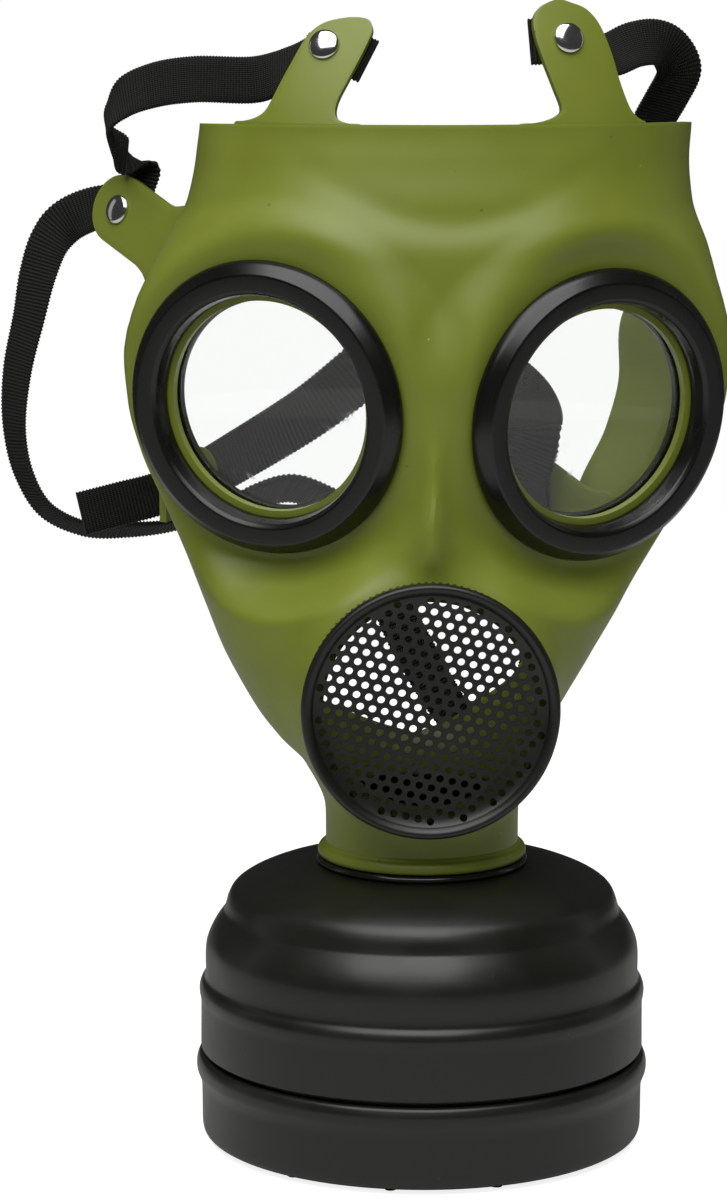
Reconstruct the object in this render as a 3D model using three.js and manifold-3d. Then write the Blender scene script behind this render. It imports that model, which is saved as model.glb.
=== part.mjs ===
// Gas mask style costume mask. Millimetres, +Z up, +X to the viewer's right, the face looks along -Y.
// The origin is the centre of the canister's base.
import * as THREE from 'three';
import { mergeVertices } from 'three/addons/utils/BufferGeometryUtils.js';
import ManifoldModule from 'manifold-3d';

const wasm = await ManifoldModule();
wasm.setup();
const { Manifold, Mesh: SolidMesh } = wasm;

const GAP = 0.3;
const WALL = 2.2;

// The canister stands on its cap and pushes its spigot up into the neck.
const CANISTER = { radius: 60.5, height: 76.4, wall: 2.0, seam: 24.4, skirt: 10.0, spigot: 19.6, fit: 0.4 };
const CAP = {
  wall: 1.4, floor: 2.0, foot: 0.8, height: 24.0, pad: 16.0, nubs: 12, nub: 1.5, nubInset: 6.0, turn: 3,
};
const NECK = { radius: 26.2, collar: 2.2, collarHeight: 3.2, ring: 1.6 };

// The moulded vinyl face, measured from its neck end to the top edge of the forehead.
const FACE = {
  base: CANISTER.height + NECK.ring + 2 * GAP, height: 198.2, halfWidth: 82.4, depth: 75.0, round: 1.95, dip: 2.4,
};
// Centres on the face, as shares of FACE.halfWidth, FACE.depth and FACE.height.
const EYES = {
  left: { centre: [-0.5024, -0.0267, 0.6206], yaw: -28.4, pitch: -6.5 },
  right: { centre: [0.5655, -0.0267, 0.6075], yaw: 28.4, pitch: -6.5 },
};
const EYE = { hole: 28.8, lip: 0.8, rim: 40.3, rise: 6.0, lap: 4.2, lens: 1.2, ring: 2.4, seat: 2.2, fade: 15.7 };
const MOUTH = {
  centre: [0.0012, -0.3773, 0.2326], boss: 32.0, deep: 17.0, hole: 28.0, rim: 34.3, rise: 9.7, plate: 1.4,
  pitch: 7.5, pore: 2.2, turn: -13,
};
const STRAP = { width: 12.5, thick: 1.4, clear: 0.6 };
const RIVET = { cap: 4.15, capRise: 1.7, shank: 1.5, back: 3.4, backRise: 1.0, play: 0.35 };

const mix = (a, b, t) => a + (b - a) * t;
const clamp = (x, lo, hi) => Math.min(hi, Math.max(lo, x));
const rad = (deg) => deg * Math.PI / 180;
const bell = (x, width) => Math.exp(-(x * x) / (width * width));
const smooth = (x, from, to) => {
  const t = clamp((x - from) / (to - from), 0, 1);
  return t * t * (3 - 2 * t);
};

// A table of named columns read at any value of its first column, with a smooth curve between rows.
function table(names, rows) {
  const at = rows.map((row) => row[0]);
  const slopes = names.map((_, c) => rows.map((row, i) => {
    if (i === 0 || i === rows.length - 1) return 0;
    const before = (row[c] - rows[i - 1][c]) / (at[i] - at[i - 1]);
    const after = (rows[i + 1][c] - row[c]) / (at[i + 1] - at[i]);
    if (before * after <= 0) return 0;
    return 2 * before * after / (before + after);
  }));
  return (x) => {
    const value = clamp(x, at[0], at[at.length - 1]);
    let i = 0;
    while (i < rows.length - 2 && value > at[i + 1]) i += 1;
    const span = at[i + 1] - at[i];
    const t = (value - at[i]) / span;
    const out = {};
    names.forEach((name, c) => {
      const a = rows[i][c];
      const b = rows[i + 1][c];
      const ta = slopes[c][i] * span;
      const tb = slopes[c][i + 1] * span;
      out[name] = a * (2 * t ** 3 - 3 * t ** 2 + 1) + ta * (t ** 3 - 2 * t ** 2 + t)
        + b * (3 * t ** 2 - 2 * t ** 3) + tb * (t ** 3 - t ** 2);
    });
    return out;
  };
}

// A point of the face from its shares of FACE.halfWidth, FACE.depth and FACE.height.
const onFace = ([across, back, up]) => new THREE.Vector3(
  across * FACE.halfWidth, back * FACE.depth, FACE.base + up * FACE.height,
);

// Level sections of the face. up: share of the height from base to top. half, shift: shares of
// FACE.halfWidth. mid, front, back: shares of FACE.depth. sweep: how far round the wall reaches
// from the middle of the front, as a share of half a turn. tuck: share of FACE.halfWidth by which
// the right flank is pulled in at its rear.
const section = table(
  ['up', 'half', 'shift', 'mid', 'front', 'back', 'sweep', 'tuck'],
  [
    [0.000, 0.318, 0.000, 0.000, -0.349, 0.35, 1.000, 0.00],
    [0.060, 0.322, 0.000, 0.000, -0.350, 0.35, 1.000, 0.00],
    [0.096, 0.352, 0.000, 0.005, -0.354, 0.38, 1.000, 0.00],
    [0.130, 0.383, -0.005, 0.020, -0.356, 0.44, 1.000, 0.00],
    [0.163, 0.440, -0.030, 0.060, -0.358, 0.62, 0.840, 0.05],
    [0.200, 0.502, -0.041, 0.110, -0.360, 0.90, 0.740, 0.12],
    [0.270, 0.606, -0.035, 0.175, -0.362, 1.20, 0.690, 0.22],
    [0.337, 0.690, -0.018, 0.225, -0.355, 1.40, 0.670, 0.30],
    [0.408, 0.768, -0.007, 0.280, -0.335, 1.50, 0.662, 0.40],
    [0.477, 0.850, 0.008, 0.325, -0.300, 1.55, 0.660, 0.365],
    [0.545, 0.935, 0.022, 0.350, -0.260, 1.60, 0.664, 0.285],
    [0.615, 0.985, 0.030, 0.365, -0.235, 1.60, 0.664, 0.26],
    [0.684, 0.998, 0.034, 0.373, -0.235, 1.60, 0.655, 0.29],
    [0.755, 0.966, 0.044, 0.373, -0.245, 1.60, 0.620, 0.20],
    [0.823, 0.905, 0.063, 0.373, -0.235, 1.60, 0.585, 0.05],
    [0.890, 0.835, 0.077, 0.373, -0.195, 1.60, 0.575, 0.02],
    [0.950, 0.815, 0.086, 0.373, -0.160, 1.60, 0.570, 0.00],
    [1.000, 0.812, 0.096, 0.373, -0.140, 1.60, 0.560, 0.00],
  ],
);

const axisOf = (eye) => {
  const yaw = rad(eye.yaw);
  const pitch = rad(eye.pitch);
  return new THREE.Vector3(Math.sin(yaw) * Math.cos(pitch), -Math.cos(yaw) * Math.cos(pitch), Math.sin(pitch));
};

// Low relief of the skin. across, wide: shares of FACE.halfWidth. up, high: shares of FACE.height.
// out: share of FACE.depth, forwards where it is positive.
const SWELLS = [
  { across: -0.364, wide: 0.243, up: 0.845, high: 0.0555, out: 0.035 },
  { across: 0.558, wide: 0.243, up: 0.845, high: 0.0555, out: 0.035 },
  { across: -0.170, wide: 0.097, up: 0.441, high: 0.081, out: -0.032 },
  { across: 0.194, wide: 0.097, up: 0.441, high: 0.081, out: -0.032 },
];
const BROW = { up: 0.870, bow: 0.343, high: 0.0227, wide: 0.51, out: -0.0147 };
const NOSE = { across: 0.012, wide: 0.061, from: [0.340, 0.421], to: [0.542, 0.693], out: 0.073 };

// How far the low relief stands forwards, as a share of FACE.depth.
function relief(across, up, middle) {
  const crease = BROW.up + BROW.bow * (across - middle) ** 2;
  let out = BROW.out * bell(up - crease, BROW.high) * bell(across - middle, BROW.wide);
  for (const w of SWELLS) out += w.out * bell(across - w.across, w.wide) * bell(up - w.up, w.high);
  const ridge = smooth(up, ...NOSE.from) * (1 - smooth(up, ...NOSE.to));
  return out + NOSE.out * bell(across - NOSE.across, NOSE.wide) * ridge;
}

// A point of the face's outer skin at a share of its height, turned by angle from the middle of the
// front. The neck end is round; above it the sections of the table take over.
function skin(up, angle) {
  const s = section(up);
  const share = clamp(up, 0, 1);
  const grow = smooth(share, 0.04, 0.13);
  const half = mix(NECK.radius, s.half * FACE.halfWidth, grow);
  const mid = s.mid * FACE.depth;
  const front = mix(NECK.radius, mid - s.front * FACE.depth, grow);
  const back = mix(NECK.radius, s.back * FACE.depth, grow);
  const power = mix(2.0, FACE.round, smooth(share, 0.05, 0.5));
  const sin = Math.abs(Math.sin(angle));
  const cos = Math.cos(angle);
  const reach = cos > 0 ? front : back;
  const radius = ((sin / half) ** power + (Math.abs(cos) / reach) ** power) ** (-1 / power);
  const point = new THREE.Vector3(
    s.shift * FACE.halfWidth + radius * Math.sin(angle), mid - radius * cos, FACE.base + up * FACE.height,
  );
  const behind = Math.max(0, (point.y - mid) / (FACE.depth - mid));
  if (point.x > 0) point.x -= s.tuck * FACE.halfWidth * behind ** 1.6;
  if (point.y > mid) return point;
  point.y -= FACE.depth * relief(point.x / FACE.halfWidth, share, s.shift);
  // The flat seats of the two eye pieces.
  for (const eye of Object.values(EYES)) {
    const axis = axisOf(eye);
    const away = onFace(eye.centre).sub(point);
    const lift = away.dot(axis);
    const reachOut = Math.sqrt(Math.max(0, away.lengthSq() - lift * lift));
    const weight = 1 - smooth(reachOut, EYE.rim + EYE.seat, EYE.rim + EYE.fade);
    point.addScaledVector(axis, lift * weight);
  }
  return point;
}

function skinNormal(up, angle) {
  const across = skin(up, angle + 0.01).sub(skin(up, angle - 0.01));
  const upwards = skin(Math.min(up + 0.002, 1), angle).sub(skin(up - 0.002, angle));
  return across.cross(upwards).normalize();
}
const edgeAngle = (up) => Math.PI * section(up).sweep;

// Heights of the rows of the face's wall, as shares of FACE.height.
const ROWS = [
  0, 0.037, 0.068, 0.090, 0.110, 0.130, 0.143, 0.163, 0.189, 0.219, 0.262, 0.310, 0.354, 0.391, 0.426, 0.461,
  0.502, 0.542, 0.582, 0.622, 0.663, 0.704, 0.750, 0.800, 0.840, 0.870, 0.905, 0.950, 1,
];
const COLUMNS = 25;

// The face's wall as one closed sheet, rows of points up the outer and the inner skin, and the
// hollow behind it, closed at the neck and by a fan well behind the face.
function faceSheet() {
  const closedRows = ROWS.filter((up) => edgeAngle(up) > 0.999 * Math.PI).length;
  const points = [];
  const outer = [];
  const inner = [];
  ROWS.forEach((up, i) => {
    const closed = i < closedRows;
    const edge = closed ? Math.PI : edgeAngle(up);
    const outRow = [];
    const inRow = [];
    for (let j = 0; j <= COLUMNS; j += 1) {
      if (closed && j === COLUMNS) {
        outRow.push(outRow[0]);
        inRow.push(inRow[0]);
        continue;
      }
      const angle = mix(-edge, edge, j / COLUMNS);
      const level = up - FACE.dip / FACE.height * up ** 12 * Math.abs(2 * j / COLUMNS - 1) ** 4;
      const p = skin(level, angle);
      outRow.push(points.push(p) - 1);
      inRow.push(points.push(p.clone().addScaledVector(skinNormal(level, angle), -WALL)) - 1);
      if (i === 0) points[points.length - 1].z = FACE.base;
    }
    outer.push(outRow);
    inner.push(inRow);
  });
  const faces = [];
  const quad = (a, b, c, d) => faces.push([a, b, c], [a, c, d]);
  const last = ROWS.length - 1;
  for (let i = 0; i < last; i += 1) {
    for (let j = 0; j < COLUMNS; j += 1) {
      quad(outer[i][j], outer[i][j + 1], outer[i + 1][j + 1], outer[i + 1][j]);
      quad(inner[i][j + 1], inner[i][j], inner[i + 1][j], inner[i + 1][j + 1]);
    }
    if (i >= closedRows - 1) {
      quad(inner[i][0], outer[i][0], outer[i + 1][0], inner[i + 1][0]);
      quad(outer[i][COLUMNS], inner[i][COLUMNS], inner[i + 1][COLUMNS], outer[i + 1][COLUMNS]);
    }
  }
  for (let j = 0; j < COLUMNS; j += 1) {
    quad(inner[0][j], inner[0][j + 1], outer[0][j + 1], outer[0][j]);
    quad(outer[last][j], outer[last][j + 1], inner[last][j + 1], inner[last][j]);
  }
  const hollow = [];
  for (let i = 0; i < last; i += 1) {
    for (let j = 0; j < COLUMNS; j += 1) {
      hollow.push([inner[i][j], inner[i][j + 1], inner[i + 1][j + 1]]);
      hollow.push([inner[i][j], inner[i + 1][j + 1], inner[i + 1][j]]);
    }
  }
  const apex = points.push(onFace([0, 2.27, 0.56])) - 1;
  const floor = points.push(new THREE.Vector3(0, 0, FACE.base)) - 1;
  for (let j = 0; j < COLUMNS; j += 1) {
    hollow.push([inner[last][j], inner[last][j + 1], apex]);
    hollow.push([inner[0][j + 1], inner[0][j], floor]);
  }
  for (let i = closedRows - 1; i < last; i += 1) {
    hollow.push([inner[i][0], inner[i + 1][0], apex]);
    hollow.push([inner[i + 1][COLUMNS], inner[i][COLUMNS], apex]);
  }
  return { wall: solid(points, faces), hollow: solid(points, hollow) };
}

// Triangles over a list of points, as a closed solid.
function solid(points, faces) {
  const used = new Map();
  const flat = [];
  const index = [];
  for (const face of faces) {
    if (face[0] === face[1] || face[1] === face[2] || face[0] === face[2]) continue;
    for (const i of face) {
      if (!used.has(i)) {
        used.set(i, used.size);
        flat.push(points[i].x, points[i].y, points[i].z);
      }
      index.push(used.get(i));
    }
  }
  return new Manifold(new SolidMesh({
    numProp: 3, vertProperties: new Float32Array(flat), triVerts: new Uint32Array(index),
  }));
}

// A profile of [radius, height] pairs turned about Z. It runs up the outside, and either starts and
// ends on the axis or closes on itself.
function turned(profile, around) {
  const line = profile.map(([radius, height]) => new THREE.Vector2(radius, height));
  if (profile[0][0] > 0) line.push(line[0].clone());
  const lathe = new THREE.LatheGeometry(line, around).rotateX(Math.PI / 2);
  lathe.deleteAttribute('normal');
  lathe.deleteAttribute('uv');
  const merged = mergeVertices(lathe);
  const place = merged.getAttribute('position');
  const points = Array.from({ length: place.count }, (_, i) => new THREE.Vector3().fromBufferAttribute(place, i));
  const corners = Array.from(merged.getIndex().array);
  return solid(points, Array.from({ length: corners.length / 3 }, (_, i) => corners.slice(3 * i, 3 * i + 3)));
}
const tube = (outerR, innerR, from, to, around) => turned(
  [[innerR, from], [outerR, from], [outerR, to], [innerR, to]], around,
);
const rod = (radius, from, to, around) => turned([[0, from], [radius, from], [radius, to], [0, to]], around);

// Puts a solid made about +Z at a place, with its Z along the given axis and its Y near up.
function placed(shape, centre, axis, up = new THREE.Vector3(0, 0, 1)) {
  const z = axis.clone().normalize();
  const x = up.clone().cross(z).normalize();
  const y = z.clone().cross(x);
  const m = new THREE.Matrix4().makeBasis(x, y, z).setPosition(centre);
  return shape.transform(Array.from(m.elements));
}

// A sheet bounded by rows of points, thickened to both sides of its mid surface.
function thickSheet(rows, normals, thick) {
  const points = [];
  const front = rows.map((row, i) => row.map((p, j) => points.push(
    p.clone().addScaledVector(normals[i][j], thick / 2)) - 1));
  const rear = rows.map((row, i) => row.map((p, j) => points.push(
    p.clone().addScaledVector(normals[i][j], -thick / 2)) - 1));
  const faces = [];
  const quad = (a, b, c, d) => faces.push([a, b, c], [a, c, d]);
  const last = rows.length - 1;
  const side = rows[0].length - 1;
  for (let i = 0; i < last; i += 1) {
    for (let j = 0; j < side; j += 1) {
      quad(front[i][j], front[i][j + 1], front[i + 1][j + 1], front[i + 1][j]);
      quad(rear[i][j + 1], rear[i][j], rear[i + 1][j], rear[i + 1][j + 1]);
    }
    quad(rear[i][0], front[i][0], front[i + 1][0], rear[i + 1][0]);
    quad(front[i][side], rear[i][side], rear[i + 1][side], front[i + 1][side]);
  }
  for (let j = 0; j < side; j += 1) {
    quad(rear[0][j], rear[0][j + 1], front[0][j + 1], front[0][j]);
    quad(front[last][j], front[last][j + 1], rear[last][j + 1], rear[last][j]);
  }
  return solid(points, faces);
}

// The two upright tabs carry the forehead's own curve upwards. rise: height above the top edge as
// a share of reach; from, to: their side edges as shares of FACE.halfWidth; rivet: its place in the
// same shares. lean, curl: how far they lean and curl back.
const TOP_TABS = {
  left: {
    reach: 27.8, lean: 0.30, curl: 0.11, rivet: [-0.318, 0.741],
    shape: table(['rise', 'from', 'to'], [
      [-0.12, -0.615, -0.190], [0.00, -0.605, -0.205], [0.036, -0.550, -0.270], [0.12, -0.510, -0.288],
      [0.22, -0.488, -0.280], [0.40, -0.456, -0.248], [0.60, -0.418, -0.210], [0.78, -0.382, -0.178],
      [0.88, -0.352, -0.164], [0.95, -0.314, -0.167], [0.985, -0.270, -0.180], [1.00, -0.235, -0.205],
    ]),
  },
  right: {
    reach: 32.4, lean: 0.14, curl: 0.13, rivet: [0.465, 0.691],
    shape: table(['rise', 'from', 'to'], [
      [-0.12, 0.285, 0.730], [0.00, 0.295, 0.722], [0.036, 0.385, 0.700], [0.11, 0.440, 0.672],
      [0.30, 0.416, 0.641], [0.56, 0.376, 0.610], [0.75, 0.354, 0.580], [0.85, 0.352, 0.556],
      [0.93, 0.368, 0.522], [0.98, 0.402, 0.472], [1.00, 0.425, 0.450],
    ]),
  },
};

// Depth of the forehead's top edge at x.
function topEdge(x) {
  const s = section(1);
  const mid = s.mid * FACE.depth;
  const front = mid - s.front * FACE.depth;
  const share = Math.abs(x - s.shift * FACE.halfWidth) / (s.half * FACE.halfWidth);
  return mid - front * (1 - share ** FACE.round) ** (1 / FACE.round);
}
function topTabPoint(tab, x, rise) {
  const up = Math.max(0, rise);
  const back = topEdge(x) + tab.lean * up + tab.curl * up * up / tab.reach;
  return new THREE.Vector3(x, back, FACE.base + FACE.height + rise);
}
function topTabNormal(tab, x, rise) {
  const across = topTabPoint(tab, x + 0.2, rise).sub(topTabPoint(tab, x - 0.2, rise));
  const up = topTabPoint(tab, x, rise + 0.2).sub(topTabPoint(tab, x, rise - 0.2));
  return across.cross(up).normalize();
}
function topTab(tab) {
  const rows = [];
  const normals = [];
  for (const share of [-0.1, 0, 0.036, 0.12, 0.3, 0.55, 0.78, 0.88, 0.95, 0.985, 1]) {
    const edge = tab.shape(share);
    const rise = share * tab.reach;
    const row = [];
    const rowNormals = [];
    for (let j = 0; j <= 6; j += 1) {
      const x = mix(edge.from, edge.to, j / 6) * FACE.halfWidth;
      const n = topTabNormal(tab, x, Math.max(rise, 0.3));
      row.push(topTabPoint(tab, x, rise).addScaledVector(n, -WALL / 2));
      rowNormals.push(n);
    }
    rows.push(row);
    normals.push(rowNormals);
  }
  return thickSheet(rows, normals, WALL - 0.1);
}

// The flat tabs at the rear edge of the flanks: tongues that start at a share up of FACE.height, set
// in by a few millimetres across and back, and run along out with their width along wide. side: -1 on
// the viewer's left. rivet: share of the reach. cap: the way the rivet's cap faces. root: how much
// wider than its tongue the tab starts.
const SIDE_TABS = {
  temple_left: {
    side: -1, up: 0.815, set: [0.9, 2.6], out: [-0.58, 0.72, 0.38], wide: [0.34, 0.0, 0.94], rivet: 0.692,
    cap: [-0.7, -0.7, 0], root: 1.28,
  },
  temple_right: {
    side: 1, up: 0.804, set: [-1.8, 2.3], out: [-0.18, 0.92, 0.30], wide: [0.0, -0.3, 0.95], rivet: 0.708,
    cap: [0.9, -0.2, 0], root: 1.28,
  },
  cheek_left: {
    side: -1, up: 0.472, set: [-3.1, 0.6], out: [0.55, 0.83, 0.02], wide: [0, 0, 1], rivet: 0.708,
    cap: [0.8, -0.5, 0], root: 1.1,
  },
  cheek_right: {
    side: 1, up: 0.426, set: [2.6, -0.8], out: [-0.66, 0.50, 0.56], wide: [0, 0, 1], rivet: 0.615,
    cap: [0.4, 0.9, 0], root: 1.28,
  },
};
const SIDE_TAB = { reach: 32.5, half: 9.8, bury: 3.0 };
function sideFrame(tab) {
  const out = new THREE.Vector3(...tab.out).normalize();
  const wide = new THREE.Vector3(...tab.wide);
  wide.addScaledVector(out, -wide.dot(out)).normalize();
  const face = wide.clone().cross(out).normalize();
  const root = skin(tab.up, tab.side * edgeAngle(tab.up)).add(new THREE.Vector3(...tab.set, 0));
  return { root, out, wide, face };
}
function sideTab(tab) {
  const f = sideFrame(tab);
  const rows = [];
  const normals = [];
  const ends = [[-SIDE_TAB.bury, tab.root], [0, tab.root - 0.03]];
  ends.push([0.09 * SIDE_TAB.reach, mix(1, tab.root, 0.29)]);
  for (const share of [0.21, 0.49]) ends.push([share * SIDE_TAB.reach, 1]);
  for (const turn of [0, 25, 45, 62, 76, 86]) {
    ends.push([SIDE_TAB.reach - SIDE_TAB.half * (1 - Math.sin(rad(turn))), Math.cos(rad(turn))]);
  }
  for (const [along, share] of ends) {
    const row = [];
    for (let j = 0; j <= 4; j += 1) {
      row.push(f.root.clone().addScaledVector(f.out, along)
        .addScaledVector(f.wide, mix(-1, 1, j / 4) * share * SIDE_TAB.half));
    }
    rows.push(row);
    normals.push(row.map(() => f.face));
  }
  return thickSheet(rows, normals, WALL);
}

// Where each rivet sits: its centre on the tab's mid plane and its outward axis.
function rivetSeats() {
  const seats = {};
  for (const [name, tab] of Object.entries(TOP_TABS)) {
    const [x, rise] = [tab.rivet[0] * FACE.halfWidth, tab.rivet[1] * tab.reach];
    const n = topTabNormal(tab, x, rise);
    seats[`top_${name}`] = { centre: topTabPoint(tab, x, rise).addScaledVector(n, -WALL / 2), axis: n };
  }
  for (const [name, tab] of Object.entries(SIDE_TABS)) {
    const f = sideFrame(tab);
    const axis = f.face.dot(new THREE.Vector3(...tab.cap)) > 0 ? f.face : f.face.clone().negate();
    seats[name] = { centre: f.root.clone().addScaledVector(f.out, tab.rivet * SIDE_TAB.reach), axis };
  }
  return seats;
}
const SEATS = rivetSeats();

const MOUTH_AXIS = new THREE.Vector3(0, -1, 0);
const atMouth = (shape) => placed(shape, onFace(MOUTH.centre), MOUTH_AXIS);
const atEye = (shape, eye) => placed(shape, onFace(eye.centre), axisOf(eye));

function faceShell() {
  const { wall, hollow } = faceSheet();
  const boss = atMouth(rod(MOUTH.boss, -MOUTH.deep, 0, 32)).subtract(hollow);
  const collar = tube(NECK.radius + NECK.collar, NECK.radius - 1, FACE.base, FACE.base + NECK.collarHeight, 32);
  const tabs = Object.values(TOP_TABS).map(topTab).concat(Object.values(SIDE_TABS).map(sideTab));
  const cuts = [
    atMouth(rod(MOUTH.hole, -MOUTH.deep - 5, 2, 32)),
    atMouth(rod(MOUTH.rim + GAP, 0, MOUTH.rise + 2, 32)),
  ];
  for (const eye of Object.values(EYES)) {
    cuts.push(atEye(rod(EYE.hole, -3 * WALL, 2 * WALL, 32), eye));
    cuts.push(atEye(rod(EYE.rim + GAP, 0.1, EYE.rise + 2, 32), eye));
  }
  for (const seat of Object.values(SEATS)) {
    cuts.push(placed(rod(RIVET.shank + RIVET.play, -2 * WALL, 2 * WALL, 8), seat.centre, seat.axis));
  }
  return Manifold.union([wall, boss, collar, ...tabs]).subtract(Manifold.union(cuts)).asOriginal().simplify(0.14);
}

// Front rim: a bevelled ring with a sloped lip towards the lens.
function eyeRim(eye) {
  const opening = EYE.hole + EYE.lip;
  return atEye(turned([
    [opening, 0.5], [EYE.rim - 0.3, 0.5], [EYE.rim, 0.43 * EYE.rise], [EYE.rim - 3.5, 0.95 * EYE.rise],
    [EYE.rim - 6.9, EYE.rise], [opening, 0.6 * EYE.rise],
  ], 30), eye);
}
const LENS_FRONT = -WALL - GAP;
const eyeLens = (eye) => atEye(rod(EYE.hole + EYE.lap, LENS_FRONT - EYE.lens, LENS_FRONT, 28), eye);
function eyeBack(eye) {
  const front = LENS_FRONT - EYE.lens - GAP;
  const inside = EYE.hole - 0.6;
  const outside = EYE.hole + EYE.lap + 3.4;
  return atEye(turned([
    [inside, front - EYE.ring], [outside - 1, front - EYE.ring], [outside, front - 1], [outside, front],
    [inside, front],
  ], 26), eye);
}

// Round mouth grille: a beaded rim on a short ring, closed by a perforated plate.
function mouthGrille() {
  const rim = MOUTH.rim;
  const top = MOUTH.rise;
  const plate = top - 1.5;
  const ring = turned([
    [rim - 3.3, GAP], [rim - 1.1, GAP], [rim - 1.1, 0.62 * top], [rim, 0.76 * top], [rim - 0.6, 0.94 * top],
    [rim - 1.9, top], [rim - 4.3, plate], [rim - 4.3, plate - MOUTH.plate], [rim - 3.3, plate - MOUTH.plate - 0.2],
  ], 28);
  const holes = [];
  const reach = Math.ceil(rim / MOUTH.pitch);
  for (let row = -reach; row <= reach; row += 1) {
    for (let column = -reach; column <= reach; column += 1) {
      const x = (column + (row % 2 ? 0.5 : 0)) * MOUTH.pitch;
      const y = row * MOUTH.pitch * Math.sqrt(3) / 2;
      if (Math.hypot(x, y) + MOUTH.pore > rim - 4.1) continue;
      holes.push(rod(MOUTH.pore, plate - MOUTH.plate - 1, top, 6).translate([x, y, 0]));
    }
  }
  const disc = rod(rim - 3.9, plate - MOUTH.plate, plate, 28).subtract(Manifold.union(holes));
  return atMouth(ring.add(disc.rotate([0, 0, MOUTH.turn])));
}

// Outer line of the canister from its top to its seam, as shares of CANISTER.radius and
// CANISTER.height: the domed top, a crease, the shoulder, a step and the straight band.
const CAN_LINE = [
  [0.479, 0.999], [0.603, 0.993], [0.719, 0.969], [0.820, 0.919], [0.879, 0.846], [0.891, 0.838],
  [0.949, 0.785], [0.974, 0.707], [0.975, 0.607], [0.995, 0.579], [1.002, 0.558], [1.000, 0.330],
];
const SPIGOT = NECK.radius - WALL - CANISTER.fit;
const SKIRT = CANISTER.radius - 2.1;
function canisterBody() {
  const outer = CAN_LINE.map(([out, high]) => [out * CANISTER.radius, high * CANISTER.height]);
  const tip = CANISTER.height + CANISTER.spigot;
  const line = [[SKIRT, CANISTER.skirt], [SKIRT, CANISTER.seam], ...outer.slice().reverse()];
  line.push([SPIGOT, CANISTER.height], [SPIGOT, tip], [SPIGOT - CANISTER.wall, tip]);
  line.push([SPIGOT - CANISTER.wall, CANISTER.height - CANISTER.wall]);
  // The inside keeps the wall's thickness under the dome and runs straight down from its shoulder.
  for (let i = 1; i <= 6; i += 1) {
    if (i === 5) continue;
    const [before, after] = [outer[i - 1], outer[i + 1]];
    const [dr, dz] = [after[0] - before[0], after[1] - before[1]];
    const size = Math.hypot(dr, dz);
    line.push([outer[i][0] + dz / size * CANISTER.wall, outer[i][1] - dr / size * CANISTER.wall]);
  }
  line.push([SKIRT - CANISTER.wall, 0.70 * CANISTER.height], [SKIRT - CANISTER.wall, CANISTER.skirt]);
  return turned(line, 26);
}
function canisterCap() {
  const inside = SKIRT + CANISTER.fit;
  const outside = inside + CAP.wall;
  const floor = CAP.foot + CAP.floor;
  const shellLine = [
    [0, CAP.foot], [outside - 2.6, CAP.foot], [outside, CAP.foot + 1.8], [outside + 0.2, 0.58 * CAP.height],
    [outside + 1.5, 0.81 * CAP.height], [outside + 1.3, 0.93 * CAP.height], [outside, CAP.height],
    [inside, CAP.height - 0.6], [inside, floor], [0, floor],
  ];
  const nubs = [];
  for (let i = 0; i < CAP.nubs; i += 1) {
    const nub = rod(CAP.nub, 0, CAP.foot + 0.4, 6).translate([CANISTER.radius - CAP.nubInset, 0, 0]);
    nubs.push(nub.rotate([0, 0, (i + 0.5) * 360 / CAP.nubs + CAP.turn]));
  }
  return Manifold.union([turned(shellLine, 30), rod(CAP.pad, 0, CAP.foot + 0.4, 20), ...nubs]);
}
function neckRing() {
  const bore = SPIGOT + CANISTER.fit + 0.2;
  const outside = NECK.radius + NECK.collar;
  const low = CANISTER.height + GAP;
  return turned([
    [bore, low], [outside, low], [outside + 0.2, low + NECK.ring / 2], [outside - 0.4, low + NECK.ring],
    [bore, low + NECK.ring],
  ], 26);
}

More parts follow.
